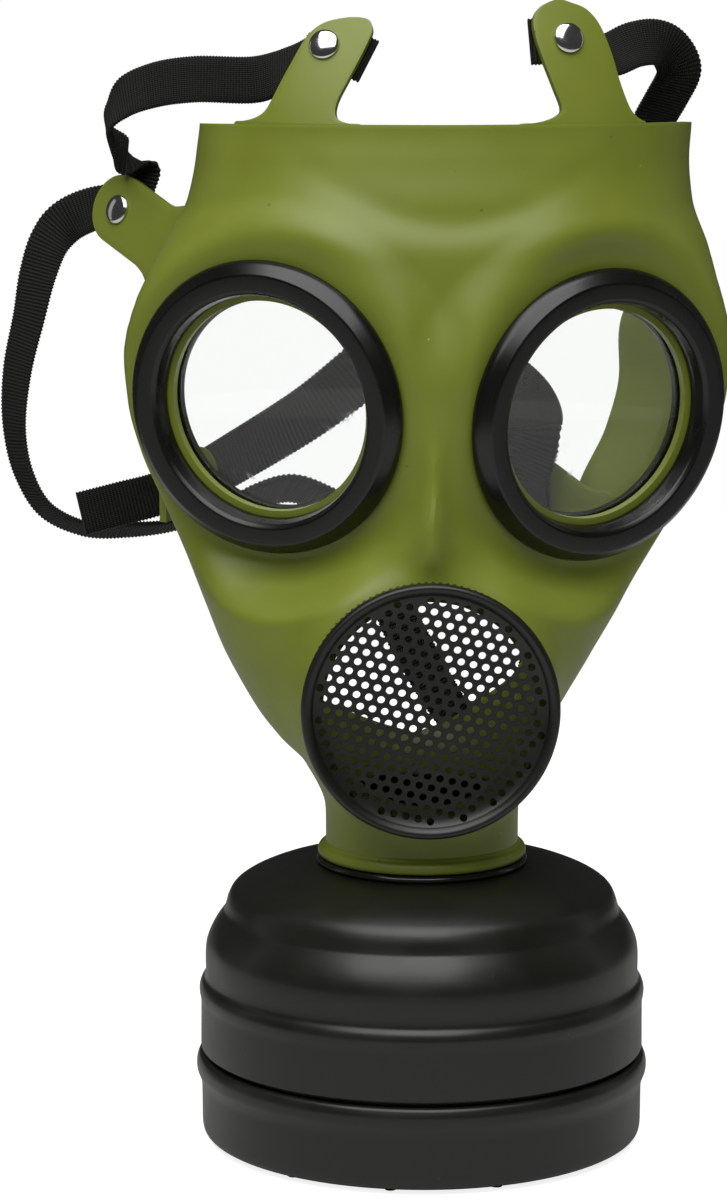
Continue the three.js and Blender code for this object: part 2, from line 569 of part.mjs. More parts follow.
// Webbing straps. Each starts and ends on tabs or at a cut end. A tab run lists offsets across and
// up the tab in millimetres; its layer counts the straps between it and the tab. The free part
// lists the middle line in shares of FACE.halfWidth, FACE.depth and FACE.height, and the way the
// strap's width points there: wx, wy, wz.
const STRAPS = {
  strap_top_left: {
    holes: ['top_left', 'temple_left'],
    parts: [
      { tab: 'top_left', layer: 0, width: 'lean', runs: [[12, -3], [6, -0.8], [0, 0]] },
      [[-0.352, 0.092, 1.087, 0.43, 0.07, 0.9], [-0.435, 0.175, 1.069, 0.3, 0.1, 0.95],
        [-0.530, 0.300, 1.053, 0, 0.1, 1],
        [-0.734, 0.480, 1.050, 0, 0.1, 1], [-0.871, 0.620, 1.039, -0.1, 0.3, 1],
        [-0.970, 0.710, 1.020, -0.3, 0.7, 0.7], [-1.020, 0.780, 0.989, -0.1, 1, 0.1],
        [-1.010, 0.850, 0.958, 0.1, 1, 0], [-0.967, 0.920, 0.933, 0.5, 0.85, 0.1]],
      { tab: 'temple_left', layer: 1, width: 'back', runs: [[2, 13], [1.5, 7], [0, 0], [0, -8]] },
    ],
  },
  strap_top_right: {
    holes: ['top_right', 'temple_right'],
    parts: [
      { tab: 'top_right', layer: 0, width: 'up', runs: [[-10.4, 0], [-5, 0], [0, 0], [6, 0]] },
      [[0.617, 0.240, 1.086, 0, 0.7, 0.7], [0.714, 0.360, 1.098, 0, 0.5, 0.85], [0.792, 0.450, 1.100, 0.15, 0.3, 1],
        [0.851, 0.530, 1.088, 0.7, 0.2, 0.7], [0.891, 0.610, 1.056, 0.95, 0.2, -0.1],
        [0.857, 0.690, 1.017, 0.9, 0.3, -0.35], [0.824, 0.760, 0.984, 0.85, 0.4, -0.35],
        [0.822, 0.860, 0.942, 0.7, 0.7, 0]],
      { tab: 'temple_right', layer: 0, width: 'across', runs: [[0, 10], [0, 0], [0, -9]] },
    ],
  },
  strap_loop: {
    holes: ['temple_left', 'cheek_right'],
    parts: [
      { tab: 'temple_left', layer: 0, width: 'up', runs: [[9, 0], [0, 0], [-9, 1]] },
      [[-1.163, 1.093, 0.839, -0.35, 0.1, 0.93], [-1.229, 1.093, 0.809, -0.7, 0.4, 0.55],
        [-1.272, 1.080, 0.762, -0.75, 0.55, 0.25], [-1.304, 1.067, 0.702, -0.7, 0.7, 0.05],
        [-1.348, 1.067, 0.621, -0.62, 0.78, 0], [-1.360, 1.067, 0.540, -0.5, 0.87, -0.05],
        [-1.329, 1.067, 0.473, -0.4, 0.9, -0.2], [-1.255, 1.093, 0.419, -0.2, 0.9, -0.4],
        [-1.124, 1.133, 0.389, 0, 0.9, -0.42], [-0.970, 1.173, 0.384, 0, 0.9, -0.42],
        [-0.802, 1.200, 0.390, 0, 0.93, -0.35], [-0.664, 1.220, 0.414, 0, 0.9, -0.42],
        [-0.500, 1.280, 0.455, 0, 0.85, -0.5], [-0.397, 1.320, 0.464, 0, 0.85, -0.5],
        [-0.297, 1.340, 0.446, -0.25, 0.85, -0.45], [-0.212, 1.340, 0.416, -0.5, 0.75, -0.4],
        [-0.148, 1.340, 0.371, -0.65, 0.65, -0.35], [-0.060, 1.320, 0.297, -0.8, 0.45, -0.4],
        [-0.007, 1.300, 0.236, -0.85, 0.25, -0.4], [0.063, 1.280, 0.180, -0.82, 0.2, -0.55],
        [0.133, 1.250, 0.130, -0.7, 0.3, -0.65], [0.205, 1.220, 0.090, -0.45, 0.4, -0.8],
        [0.295, 1.190, 0.072, -0.05, 0.5, -0.85], [0.388, 1.150, 0.090, 0.45, 0.45, -0.75],
        [0.455, 1.090, 0.150, 0.85, 0.2, -0.5], [0.485, 1.020, 0.230, 0.95, -0.1, -0.25]],
      {
        tab: 'cheek_right', layer: 0, width: 'back', shift: -3.8,
        runs: [[0, -22], [0, -13], [0, -6], [0, 0], [0, 8]],
      },
    ],
  },
  strap_cheek: {
    holes: ['cheek_left', 'cheek_right'],
    parts: [
      [[-1.129, 0.947, 0.421, 0, 0.1, 1], [-0.995, 0.987, 0.433, 0, 0.05, 1], [-0.868, 0.999, 0.446, 0, 0, 1]],
      { tab: 'cheek_left', layer: 0, width: 'up', runs: [[-3.5, -0.5], [0, 0], [5, 1], [9, 2]] },
      [[-0.359, 1.400, 0.548, 0, 0, 1], [-0.214, 1.480, 0.596, 0, 0, 1],
        [-0.068, 1.547, 0.642, 0, 0, 1], [0.095, 1.573, 0.670, 0, 0, 1],
        [0.253, 1.520, 0.654, 0, 0, 1], [0.379, 1.387, 0.621, 0.1, 0, 1],
        [0.436, 1.173, 0.594, 0.5, -0.2, 0.85], [0.474, 0.960, 0.574, 0.85, -0.45, 0.4]],
      {
        tab: 'cheek_right', layer: 1, width: 'back', shift: -3.8,
        runs: [[-4, 13], [-2.5, 7], [0, 0], [0, -8], [0, -14]],
      },
    ],
  },
};
const UP = new THREE.Vector3(0, 0, 1);
const LIFT = WALL / 2 + STRAP.clear + STRAP.thick / 2;
function strapStations(strap) {
  const stations = [];
  for (const part of strap.parts) {
    if (Array.isArray(part)) {
      for (const [across, back, up, wx, wy, wz] of part) {
        stations.push({ at: onFace([across, back, up]), width: new THREE.Vector3(wx, wy, wz).normalize() });
      }
      continue;
    }
    const seat = SEATS[part.tab];
    const up = UP.clone().addScaledVector(seat.axis, -seat.axis.z).normalize();
    const across = up.clone().cross(seat.axis).normalize();
    const lean = up.clone().multiplyScalar(0.89).addScaledVector(across, 0.46);
    const width = { up, across, lean, back: across.clone().negate() }[part.width];
    const depth = LIFT + part.layer * (STRAP.thick + GAP);
    const top = part.tab.startsWith('top') ? TOP_TABS[part.tab.slice(4)] : null;
    for (const [sideways, rise] of part.runs) {
      let at = seat.centre.clone().addScaledVector(across, sideways + (part.shift || 0))
        .addScaledVector(up, rise).addScaledVector(seat.axis, -depth);
      if (top) {
        const x = top.rivet[0] * FACE.halfWidth + sideways * 0.9;
        const high = top.rivet[1] * top.reach + rise;
        at = topTabPoint(top, x, high).addScaledVector(topTabNormal(top, x, high), -(WALL / 2 + depth));
      }
      stations.push({ at, width: width.clone() });
    }
  }
  return stations;
}
function strapSolid(strap, steps) {
  const stations = strapStations(strap);
  const line = new THREE.CatmullRomCurve3(stations.map((s) => s.at), false, 'centripetal');
  const spans = stations.length - 1;
  const points = [];
  const faces = [];
  const count = spans * steps;
  for (let i = 0; i <= count; i += 1) {
    const t = i / count;
    const at = line.getPoint(t);
    const along = line.getTangent(t);
    const k = Math.min(spans - 1, Math.floor(t * spans));
    const width = stations[k].width.clone().lerp(stations[k + 1].width, t * spans - k);
    width.addScaledVector(along, -width.dot(along)).normalize().multiplyScalar(STRAP.width / 2);
    const normal = along.clone().cross(width).normalize().multiplyScalar(STRAP.thick / 2);
    for (const [a, b] of [[1, 1], [-1, 1], [-1, -1], [1, -1]]) {
      points.push(at.clone().addScaledVector(width, a).addScaledVector(normal, b));
    }
    if (i === 0) continue;
    const base = (i - 1) * 4;
    for (let c = 0; c < 4; c += 1) {
      const d = (c + 1) % 4;
      faces.push([base + c, base + d, base + 4 + d], [base + c, base + 4 + d, base + 4 + c]);
    }
  }
  const end = count * 4;
  faces.push([0, 2, 1], [0, 3, 2], [end, end + 1, end + 2], [end, end + 2, end + 3]);
  const holes = strap.holes.map((name) => placed(
    rod(RIVET.shank + RIVET.play, -9, 9, 10), SEATS[name].centre, SEATS[name].axis,
  ));
  return solid(points, faces).subtract(Manifold.union(holes));
}

// A rivet: domed cap outside, shank through the tab and its straps, flat cap inside.
function rivet(name, layers) {
  const top = WALL / 2 + GAP;
  const low = -(WALL / 2 + STRAP.clear + layers * (STRAP.thick + GAP));
  return placed(turned([
    [0, low - RIVET.backRise], [RIVET.back, low - RIVET.backRise], [RIVET.back, low], [RIVET.shank, low],
    [RIVET.shank, top], [RIVET.cap, top], [RIVET.cap - 0.3, top + 0.47 * RIVET.capRise],
    [RIVET.cap - 1.6, top + 0.82 * RIVET.capRise], [0, top + RIVET.capRise],
  ], 9), SEATS[name].centre, SEATS[name].axis);
}
const RIVETS = { top_left: 1, top_right: 1, temple_left: 2, temple_right: 1, cheek_left: 1, cheek_right: 2 };

const MATERIALS = {
  vinyl: new THREE.MeshStandardMaterial({ color: 0x68732f, roughness: 0.5 }),
  black: new THREE.MeshStandardMaterial({ color: 0x1c1c1a, roughness: 0.35 }),
  canister: new THREE.MeshStandardMaterial({ color: 0x2b2b28, roughness: 0.42 }),
  webbing: new THREE.MeshStandardMaterial({ color: 0x161614, roughness: 0.9 }),
  clear: new THREE.MeshStandardMaterial({ color: 0xf2f4f2, roughness: 0.05, transparent: true, opacity: 0.2 }),
  chrome: new THREE.MeshStandardMaterial({ color: 0xd8d8d8, roughness: 0.15, metalness: 1 }),
};

const group = new THREE.Group();
function add(name, shape, material) {
  const mesh = shape.getMesh();
  const geometry = new THREE.BufferGeometry();
  geometry.setAttribute('position', new THREE.BufferAttribute(new Float32Array(mesh.vertProperties), 3));
  geometry.setIndex(new THREE.BufferAttribute(new Uint32Array(mesh.triVerts), 1));
  geometry.computeVertexNormals();
  const node = new THREE.Mesh(geometry, material);
  node.name = name;
  group.add(node);
}

add('face_shell', faceShell(), MATERIALS.vinyl);
for (const side of ['left', 'right']) {
  add(`eye_rim_${side}`, eyeRim(EYES[side]), MATERIALS.black);
  add(`lens_${side}`, eyeLens(EYES[side]), MATERIALS.clear);
  add(`eye_back_ring_${side}`, eyeBack(EYES[side]), MATERIALS.black);
}
add('mouth_grille', mouthGrille(), MATERIALS.black);
add('neck_ring', neckRing(), MATERIALS.black);
add('canister_body', canisterBody(), MATERIALS.canister);
add('canister_cap', canisterCap(), MATERIALS.canister);
for (const [name, strap] of Object.entries(STRAPS)) add(name, strapSolid(strap, 1), MATERIALS.webbing);
for (const [name, layers] of Object.entries(RIVETS)) add(`rivet_${name}`, rivet(name, layers), MATERIALS.chrome);

export default group;
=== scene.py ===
"""Gas mask style costume mask: finished surfaces of its face, eye pieces, grille, canister and straps.

Lengths are millimetres unless a name says otherwise. A mesh is scaled to metres when its object is made.
"""

import math

import bpy
import numpy as np
from bpy.props import FloatProperty, FloatVectorProperty, IntProperty, PointerProperty
from mathutils import Matrix, Vector


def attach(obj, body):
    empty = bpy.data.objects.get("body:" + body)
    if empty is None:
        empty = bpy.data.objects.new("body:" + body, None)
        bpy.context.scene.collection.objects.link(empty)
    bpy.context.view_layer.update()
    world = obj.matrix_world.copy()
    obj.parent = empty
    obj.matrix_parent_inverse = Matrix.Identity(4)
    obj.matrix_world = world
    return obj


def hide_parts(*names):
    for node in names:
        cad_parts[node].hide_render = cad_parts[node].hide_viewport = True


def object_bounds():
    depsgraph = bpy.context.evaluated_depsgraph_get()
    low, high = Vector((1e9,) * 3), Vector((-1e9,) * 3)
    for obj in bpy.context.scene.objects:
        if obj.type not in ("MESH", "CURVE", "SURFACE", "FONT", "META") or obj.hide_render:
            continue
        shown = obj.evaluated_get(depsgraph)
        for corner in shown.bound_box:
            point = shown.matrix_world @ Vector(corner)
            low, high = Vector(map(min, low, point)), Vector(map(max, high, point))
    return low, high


bl_info = {
    "name": "Gas mask style costume mask",
    "version": (1, 0, 0),
    "blender": (4, 5, 0),
    "location": "View3D > Sidebar > Mask",
    "description": "Builds the finished pieces of a gas mask style costume mask around its packed solids",
    "category": "Object",
}

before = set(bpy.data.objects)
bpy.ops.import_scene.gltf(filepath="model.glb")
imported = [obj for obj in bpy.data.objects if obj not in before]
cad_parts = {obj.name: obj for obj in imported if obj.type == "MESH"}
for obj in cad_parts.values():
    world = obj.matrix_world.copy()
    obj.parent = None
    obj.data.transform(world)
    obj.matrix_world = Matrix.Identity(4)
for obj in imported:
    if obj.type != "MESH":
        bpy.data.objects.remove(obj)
solid_low, solid_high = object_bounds()

MM = 0.001
GAP = 0.3
TURN = 2 * math.pi

# The moulded face, from its neck end to the top edge of the forehead.
FACE_BASE = 78.6
FACE_HEIGHT = 198.2
HALF_WIDTH = 82.4
DEPTH = 75.0
ROUNDNESS = 1.95
TOP_DIP = 2.4
NECK_RADIUS = 26.2
SHELL_ROWS = 176
SHELL_COLUMNS = 150

# Eye pieces and mouth, their centres as shares of HALF_WIDTH, DEPTH and FACE_HEIGHT.
EYES = {
    "left": {"centre": (-0.5024, -0.0267, 0.6206), "yaw": -28.4, "pitch": -6.5},
    "right": {"centre": (0.5655, -0.0267, 0.6075), "yaw": 28.4, "pitch": -6.5},
}
EYE_HOLE = 28.8
EYE_RIM = 40.3
EYE_SEAT = 42.5
EYE_FADE = 56.0
EYE_MEET = 12.0
FLANK_FADE = 9.0
LENS_RADIUS = 33.0
LENS_THICK = 1.2
MOUTH = (0.0012, -0.3773, 0.2326)
MOUTH_AXIS = Vector((0, -1, 0))
MOUTH_BOSS = 32.0
MOUTH_DEEP = 17.0
MOUTH_HOLE = 28.0
GRILLE_RIM = 34.3
GRILLE_RISE = 9.7
PLATE_RADIUS = 30.2
PLATE_THICK = 1.0
PLATE_TURN = -13.0

# The canister stands on its cap.
FEET_TURN = 3.0

RIVET_CAP = 4.15
RIVET_RISE = 1.7
RIVET_SHANK = 1.5
RIVET_BACK = 3.4
RIVET_HOLE = 1.85

# The camera stands where the photograph was taken from.
CAMERA_PLACE = (-70.2, -1147.9, 345.0)
CAMERA_YAW = -2.707
CAMERA_DOWN = 9.699
CAMERA_SENSOR = 24.0
CAMERA_LENS = 86.33
FLOOR_RADIUS = 0.7


# Curves and tables


def smooth(value, low, high):
    """A soft step from 0 at low to 1 at high."""
    share = np.clip((value - low) / (high - low), 0, 1)
    return share * share * (3 - 2 * share)


def bell(value, width):
    """A bell of height 1 and that half width."""
    return np.exp(-((value / width) ** 2))


def table(rows):
    """Reads a table at any value of its first column, with smooth curves between its rows."""
    rows = np.array(rows, float)
    at = rows[:, 0]
    values = rows[:, 1:]
    steps = np.diff(at)
    rises = np.diff(values, axis=0) / steps[:, None]
    slopes = np.zeros_like(values)
    before = rises[:-1]
    after = rises[1:]
    same = before * after > 0
    slopes[1:-1][same] = 2 * (before * after)[same] / (before + after)[same]

    def read(value):
        value = np.clip(np.asarray(value, float), at[0], at[-1])
        i = np.clip(np.searchsorted(at, value, side="right") - 1, 0, len(at) - 2)
        step = steps[i][..., None]
        t = ((value - at[i]) / steps[i])[..., None]
        low = values[i] * (2 * t**3 - 3 * t**2 + 1) + slopes[i] * step * (t**3 - 2 * t**2 + t)
        high = values[i + 1] * (3 * t**2 - 2 * t**3) + slopes[i + 1] * step * (t**3 - t**2)
        return np.moveaxis(low + high, -1, 0)

    return read


def flowing_line(points, steps):
    """Points on a centripetal curve through the given points, steps to each span."""
    points = np.array(points, float)
    ahead = 2 * points[0] - points[1]
    behind = 2 * points[-1] - points[-2]
    points = np.vstack([ahead, points, behind])
    line = []
    for i in range(1, len(points) - 2):
        p0, p1, p2, p3 = points[i - 1 : i + 3]
        d0, d1, d2 = (max(np.linalg.norm(b - a), 1e-6) ** 0.5 for a, b in ((p0, p1), (p1, p2), (p2, p3)))
        t1 = ((p1 - p0) / d0 - (p2 - p0) / (d0 + d1) + (p2 - p1) / d1) * d1
        t2 = ((p2 - p1) / d1 - (p3 - p1) / (d1 + d2) + (p3 - p2) / d2) * d1
        for k in range(steps):
            t = k / steps
            line.append(
                p1 * (2 * t**3 - 3 * t**2 + 1)
                + t1 * (t**3 - 2 * t**2 + t)
                + p2 * (3 * t**2 - 2 * t**3)
                + t2 * (t**3 - t**2)
            )
    line.append(points[-2])
    return np.array(line)


# Level sections of the face. up: share of FACE_HEIGHT. half, shift: shares of HALF_WIDTH. mid, front,
# back: shares of DEPTH. sweep: how far round the wall reaches from the middle of the front, as a share
# of half a turn. tuck: share of HALF_WIDTH by which the right flank is pulled in at its rear.
SECTIONS = (
    # up, half, shift, mid, front, back, sweep, tuck
    (0.000, 0.318, 0.000, 0.000, -0.349, 0.35, 1.000, 0.00),
    (0.060, 0.322, 0.000, 0.000, -0.350, 0.35, 1.000, 0.00),
    (0.096, 0.352, 0.000, 0.005, -0.354, 0.38, 1.000, 0.00),
    (0.130, 0.383, -0.005, 0.020, -0.356, 0.44, 1.000, 0.00),
    (0.163, 0.440, -0.030, 0.060, -0.358, 0.62, 0.840, 0.05),
    (0.200, 0.502, -0.041, 0.110, -0.360, 0.90, 0.740, 0.12),
    (0.270, 0.606, -0.035, 0.175, -0.362, 1.20, 0.690, 0.22),
    (0.337, 0.690, -0.018, 0.225, -0.355, 1.40, 0.670, 0.30),
    (0.408, 0.768, -0.007, 0.280, -0.335, 1.50, 0.662, 0.40),
    (0.477, 0.850, 0.008, 0.325, -0.300, 1.55, 0.660, 0.365),
    (0.545, 0.935, 0.022, 0.350, -0.260, 1.60, 0.664, 0.285),
    (0.615, 0.985, 0.030, 0.365, -0.235, 1.60, 0.664, 0.26),
    (0.684, 0.998, 0.034, 0.373, -0.235, 1.60, 0.655, 0.29),
    (0.755, 0.966, 0.044, 0.373, -0.245, 1.60, 0.620, 0.20),
    (0.823, 0.905, 0.063, 0.373, -0.235, 1.60, 0.585, 0.05),
    (0.890, 0.835, 0.077, 0.373, -0.195, 1.60, 0.575, 0.02),
    (0.950, 0.815, 0.086, 0.373, -0.160, 1.60, 0.570, 0.00),
    (1.000, 0.812, 0.096, 0.373, -0.140, 1.60, 0.560, 0.00),
)
section = table(SECTIONS)

# Low relief of the skin. across, wide: shares of HALF_WIDTH. up, high: shares of FACE_HEIGHT. out:
# share of DEPTH, forwards where it is positive.
SWELLS = (
    # across, wide, up, high, out
    (-0.364, 0.243, 0.845, 0.0555, 0.045),
    (0.558, 0.243, 0.845, 0.0555, 0.045),
    (-0.160, 0.100, 0.425, 0.085, -0.040),
    (0.184, 0.100, 0.425, 0.085, -0.040),
)
BROW_CREASE = {"up": 0.870, "bow": 0.343, "high": 0.0227, "wide": 0.36, "out": -0.0110}
NOSE_RIDGE = {"across": 0.012, "wide": 0.056, "out": 0.073}
NOSE_STARTS = (0.330, 0.490)
NOSE_ENDS = (0.542, 0.693)


def on_face(across, back, up):
    """A place on the face from its shares of HALF_WIDTH, DEPTH and FACE_HEIGHT."""
    return np.array([across * HALF_WIDTH, back * DEPTH, FACE_BASE + up * FACE_HEIGHT])


def eye_axis(eye):
    """The way an eye piece looks."""
    yaw = math.radians(eye["yaw"])
    pitch = math.radians(eye["pitch"])
    return Vector((math.sin(yaw) * math.cos(pitch), -math.cos(yaw) * math.cos(pitch), math.sin(pitch)))


def relief(across, up, middle):
    """How far the low relief stands forwards, as a share of DEPTH."""
    crease = BROW_CREASE["up"] + BROW_CREASE["bow"] * (across - middle) ** 2
    out = BROW_CREASE["out"] * bell(up - crease, BROW_CREASE["high"])
    out = out * bell(across - middle, BROW_CREASE["wide"])
    for swell_across, wide, swell_up, high, swell_out in SWELLS:
        out = out + swell_out * bell(across - swell_across, wide) * bell(up - swell_up, high)
    ridge = smooth(up, *NOSE_STARTS) * (1 - smooth(up, *NOSE_ENDS))
    return out + NOSE_RIDGE["out"] * bell(across - NOSE_RIDGE["across"], NOSE_RIDGE["wide"]) * ridge


def skin(up, angle):
    """Points of the outer skin at shares of its height, turned by angles from the middle of the front."""
    half, shift, mid, front, back, _, tuck = section(up)
    share = np.clip(up, 0, 1)
    grow = smooth(share, 0.04, 0.13)
    half = NECK_RADIUS + (half * HALF_WIDTH - NECK_RADIUS) * grow
    mid = mid * DEPTH
    front = NECK_RADIUS + (mid - front * DEPTH - NECK_RADIUS) * grow
    back = NECK_RADIUS + (back * DEPTH - NECK_RADIUS) * grow
    power = 2.0 + (ROUNDNESS - 2.0) * smooth(share, 0.05, 0.5)
    cos = np.cos(angle)
    reach = np.where(cos > 0, front, back)
    radius = ((np.abs(np.sin(angle)) / half) ** power + (np.abs(cos) / reach) ** power) ** (-1 / power)
    x = shift * HALF_WIDTH + radius * np.sin(angle)
    y = mid - radius * cos
    behind = np.clip((y - mid) / (DEPTH - mid), 0, None)
    x = np.where(x > 0, x - tuck * HALF_WIDTH * behind**1.6, x)
    ahead = y <= mid
    y = np.where(ahead, y - DEPTH * relief(x / HALF_WIDTH, share, shift), y)
    points = np.stack([x, y, FACE_BASE + up * FACE_HEIGHT + 0 * x], axis=-1)
    return flatten_at_eyes(blend_to_mouth(points, cos), smooth(mid - y, 0, FLANK_FADE))


def flatten_at_eyes(points, ahead):
    """Draws the skin onto the flat seats of the eye pieces. The two seats meet in a soft ridge."""
    moves = []
    outs = []
    for eye in EYES.values():
        axis = np.array(eye_axis(eye))
        away = on_face(*eye["centre"]) - points
        lift = away @ axis
        out = np.sqrt(np.clip((away**2).sum(-1) - lift**2, 0, None))
        weight = ahead * (1 - smooth(out, EYE_SEAT, EYE_FADE))
        moves.append(axis * (lift * weight)[..., None])
        outs.append(out)
    left = smooth(outs[1] - outs[0], -EYE_MEET, EYE_MEET)[..., None]
    return points + moves[0] * left + moves[1] * (1 - left)


def blend_to_mouth(points, cos):
    """Flares the skin forwards round the mouth, as moulded vinyl runs into the boss of the grille."""
    centre = on_face(*MOUTH)
    out = np.hypot(points[..., 0] - centre[0], points[..., 2] - centre[2])
    weight = (1 - smooth(out, MOUTH_BOSS - 1, MOUTH_BOSS + 9)) * smooth(cos, 0.1, 0.6)
    level = centre[1] + 1.6
    y = points[..., 1]
    near = 1 - smooth(out, MOUTH_BOSS + 0.5, MOUTH_BOSS + 9.5)
    moved = points.copy()
    moved[..., 1] = y + (level - y) * np.where(y > level, 0.55 * weight**1.5, near)
    return moved


def skin_normal(up, angle):
    """Outward normals of the skin."""
    across = skin(up, angle + 0.004) - skin(up, angle - 0.004)
    upwards = skin(np.minimum(up + 0.001, 1), angle) - skin(up - 0.001, angle)
    normal = np.cross(across, upwards)
    return normal / np.linalg.norm(normal, axis=-1, keepdims=True)


def edge_angle(up):
    """How far round the wall reaches at a share of the height. The notch at the neck is a smooth U."""
    sweep = section(up)[5]
    notch = np.clip((np.asarray(up, float) - 0.130) / 0.070, 0, 1)
    return math.pi * np.where(notch < 1, 1 - 0.26 * np.sqrt(notch), sweep)


# Meshes and objects


def new_piece(name, points, faces, material=None, sharp=35):
    """An object in metres from points in millimetres, shaded smooth up to an angle."""
    mesh = bpy.data.meshes.new(name)
    mesh.from_pydata([tuple(map(float, p)) for p in points], [], [tuple(map(int, f)) for f in faces])
    mesh.update()
    piece = bpy.data.objects.new(name, mesh)
    bpy.context.scene.collection.objects.link(piece)
    if material:
        mesh.materials.append(material)
    soften(mesh, sharp)
    return piece


def soften(mesh, sharp=35):
    """Smooth shading, with the edges past that many degrees kept sharp."""
    mesh.shade_smooth()
    mesh.set_sharp_from_angle(angle=math.radians(sharp))


def settle(piece):
    """Turns what the modifiers make into the piece's own plain mesh."""
    bpy.context.view_layer.update()
    shape = bpy.data.meshes.new_from_object(piece.evaluated_get(bpy.context.evaluated_depsgraph_get()))
    piece.modifiers.clear()
    old = piece.data
    piece.data = shape
    bpy.data.meshes.remove(old)
    return piece


def combine(piece, others, operation):
    """Joins or cuts a closed piece with others, which are used up."""
    for other in others:
        step = piece.modifiers.new(operation.lower(), "BOOLEAN")
        step.operation = operation
        step.solver = "MANIFOLD"
        step.object = other
    settle(piece)
    for other in others:
        mesh = other.data
        bpy.data.objects.remove(other)
        bpy.data.meshes.remove(mesh)
    return piece


def finish_piece(piece, nodes, sharp=35):
    """Scales a piece to metres and ties it to the frame."""
    piece.data.transform(Matrix.Scale(MM, 4))
    soften(piece.data, sharp)
    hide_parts(*nodes)
    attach(piece, "root")
    return piece


def rounded(rows, steps=5):
    """A profile of radius, height and corner rounding, with each corner turned into a short curve."""
    line = []
    count = len(rows)
    for i, (radius, height, rounding) in enumerate(rows):
        corner = np.array([radius, height], float)
        if rounding <= 0:
            line.append(corner)
            continue
        before = np.array(rows[i - 1][:2], float) - corner
        after = np.array(rows[(i + 1) % count][:2], float) - corner
        start = corner + before * min(rounding / np.linalg.norm(before), 0.48)
        end = corner + after * min(rounding / np.linalg.norm(after), 0.48)
        for k in range(steps + 1):
            t = k / steps
            line.append((1 - t) ** 2 * start + 2 * t * (1 - t) * corner + t**2 * end)
    return np.array(line)


def lathe(line, around):
    """Points and faces of a profile turned about Z, which closes on itself or on the axis."""
    line = np.array(line, float)
    on_axis = line[0][0] < 1e-6 and line[-1][0] < 1e-6
    body = line[1:-1] if on_axis else line
    turns = TURN * np.arange(around) / around
    points = [(r * math.cos(a), r * math.sin(a), h) for a in turns for r, h in body]
    count = len(body)
    faces = []
    for i in range(around):
        here = i * count
        there = (i + 1) % around * count
        for j in range(count if not on_axis else count - 1):
            k = (j + 1) % count
            faces.append((here + j, there + j, there + k, here + k))
    if on_axis:
        low = len(points)
        points += [(0, 0, line[0][1]), (0, 0, line[-1][1])]
        for i in range(around):
            here = i * count
            there = (i + 1) % around * count
            faces.append((low, there, here))
            faces.append((low + 1, here + count - 1, there + count - 1))
    return np.array(points), faces


def rod(radius, low, high, around):
    """Points and faces of a plain cylinder on Z."""
    return lathe([(0, low), (radius, low), (radius, high), (0, high)], around)


def placed(shape, centre, axis):
    """A shape made about +Z, moved to a place with its Z along an axis."""
    points, faces = shape
    z = Vector(axis).normalized()
    x = Vector((0, 0, 1)).cross(z).normalized()
    y = z.cross(x)
    turn = np.array([x, y, z])
    return points @ turn + np.array(centre), faces


def grid_faces(index, wrap=False):
    """Quads over a grid of point numbers, facing out where rows run up and columns run to the right."""
    right = np.roll(index, -1, axis=1) if wrap else index[:, 1:]
    left = index if wrap else index[:, :-1]
    quads = np.stack([left[:-1], right[:-1], right[1:], left[1:]], axis=-1)
    return quads.reshape(-1, 4)


def slab(rows, normals, thick):
    """A closed sheet that lies under a grid of surface points, with flat sides."""
    rows = np.array(rows, float)
    height, width = rows.shape[:2]
    under = rows - np.array(normals, float) * thick
    points = np.concatenate([rows.reshape(-1, 3), under.reshape(-1, 3)])
    front = np.arange(height * width).reshape(height, width)
    rear = front + height * width
    faces = list(grid_faces(front)) + [f[::-1] for f in grid_faces(rear)]
    ring = np.concatenate([front[0, :-1], front[:-1, -1], front[-1, :0:-1], front[:0:-1, 0]])
    for a, b in zip(ring, np.roll(ring, -1)):
        faces.append((b, a, a + height * width, b + height * width))
    return points, faces


def soft_slab(name, shape, edge=0.5):
    """A slab as an object with softly rounded edges."""
    piece = new_piece(name, *shape)
    bevel = piece.modifiers.new("edge", "BEVEL")
    bevel.width = edge
    bevel.segments = 2
    bevel.limit_method = "ANGLE"
    bevel.angle_limit = math.radians(50)
    return settle(piece)


# Nodes of materials


def feed(tree, value, socket):
    """Links a socket, or sets a plain value."""
    if isinstance(value, bpy.types.NodeSocket):
        tree.links.new(value, socket)
    else:
        socket.default_value = value


def add_node(tree, kind, options=None, **values):
    """A node with its options and inputs set by name."""
    node = tree.nodes.new(kind)
    for key, value in (options or {}).items():
        setattr(node, key, value)
    for key, value in values.items():
        feed(tree, value, node.inputs[key.replace("_", " ")])
    return node


def calc(tree, operation, *values):
    """The result of a Math node."""
    node = tree.nodes.new("ShaderNodeMath")
    node.operation = operation
    for socket, value in zip(node.inputs, values):
        feed(tree, value, socket)
    return node.outputs[0]


def remap(tree, value, low, high, to_low=0.0, to_high=1.0):
    """A value moved from one range to another and held there."""
    node = add_node(tree, "ShaderNodeMapRange", Value=value, From_Min=low, From_Max=high)
    node.inputs["To Min"].default_value = to_low
    node.inputs["To Max"].default_value = to_high
    return node.outputs[0]


def mix_colour(tree, factor, first, second):
    """A colour between two others."""
    node = tree.nodes.new("ShaderNodeMix")
    node.data_type = "RGBA"
    feed(tree, factor, node.inputs[0])
    feed(tree, first, node.inputs[6])
    feed(tree, second, node.inputs[7])
    return node.outputs[2]


def rgba(colour, factor=1.0):
    """A colour with its alpha, made lighter or darker."""
    return tuple(min(1.0, c * factor) for c in colour) + (1.0,)


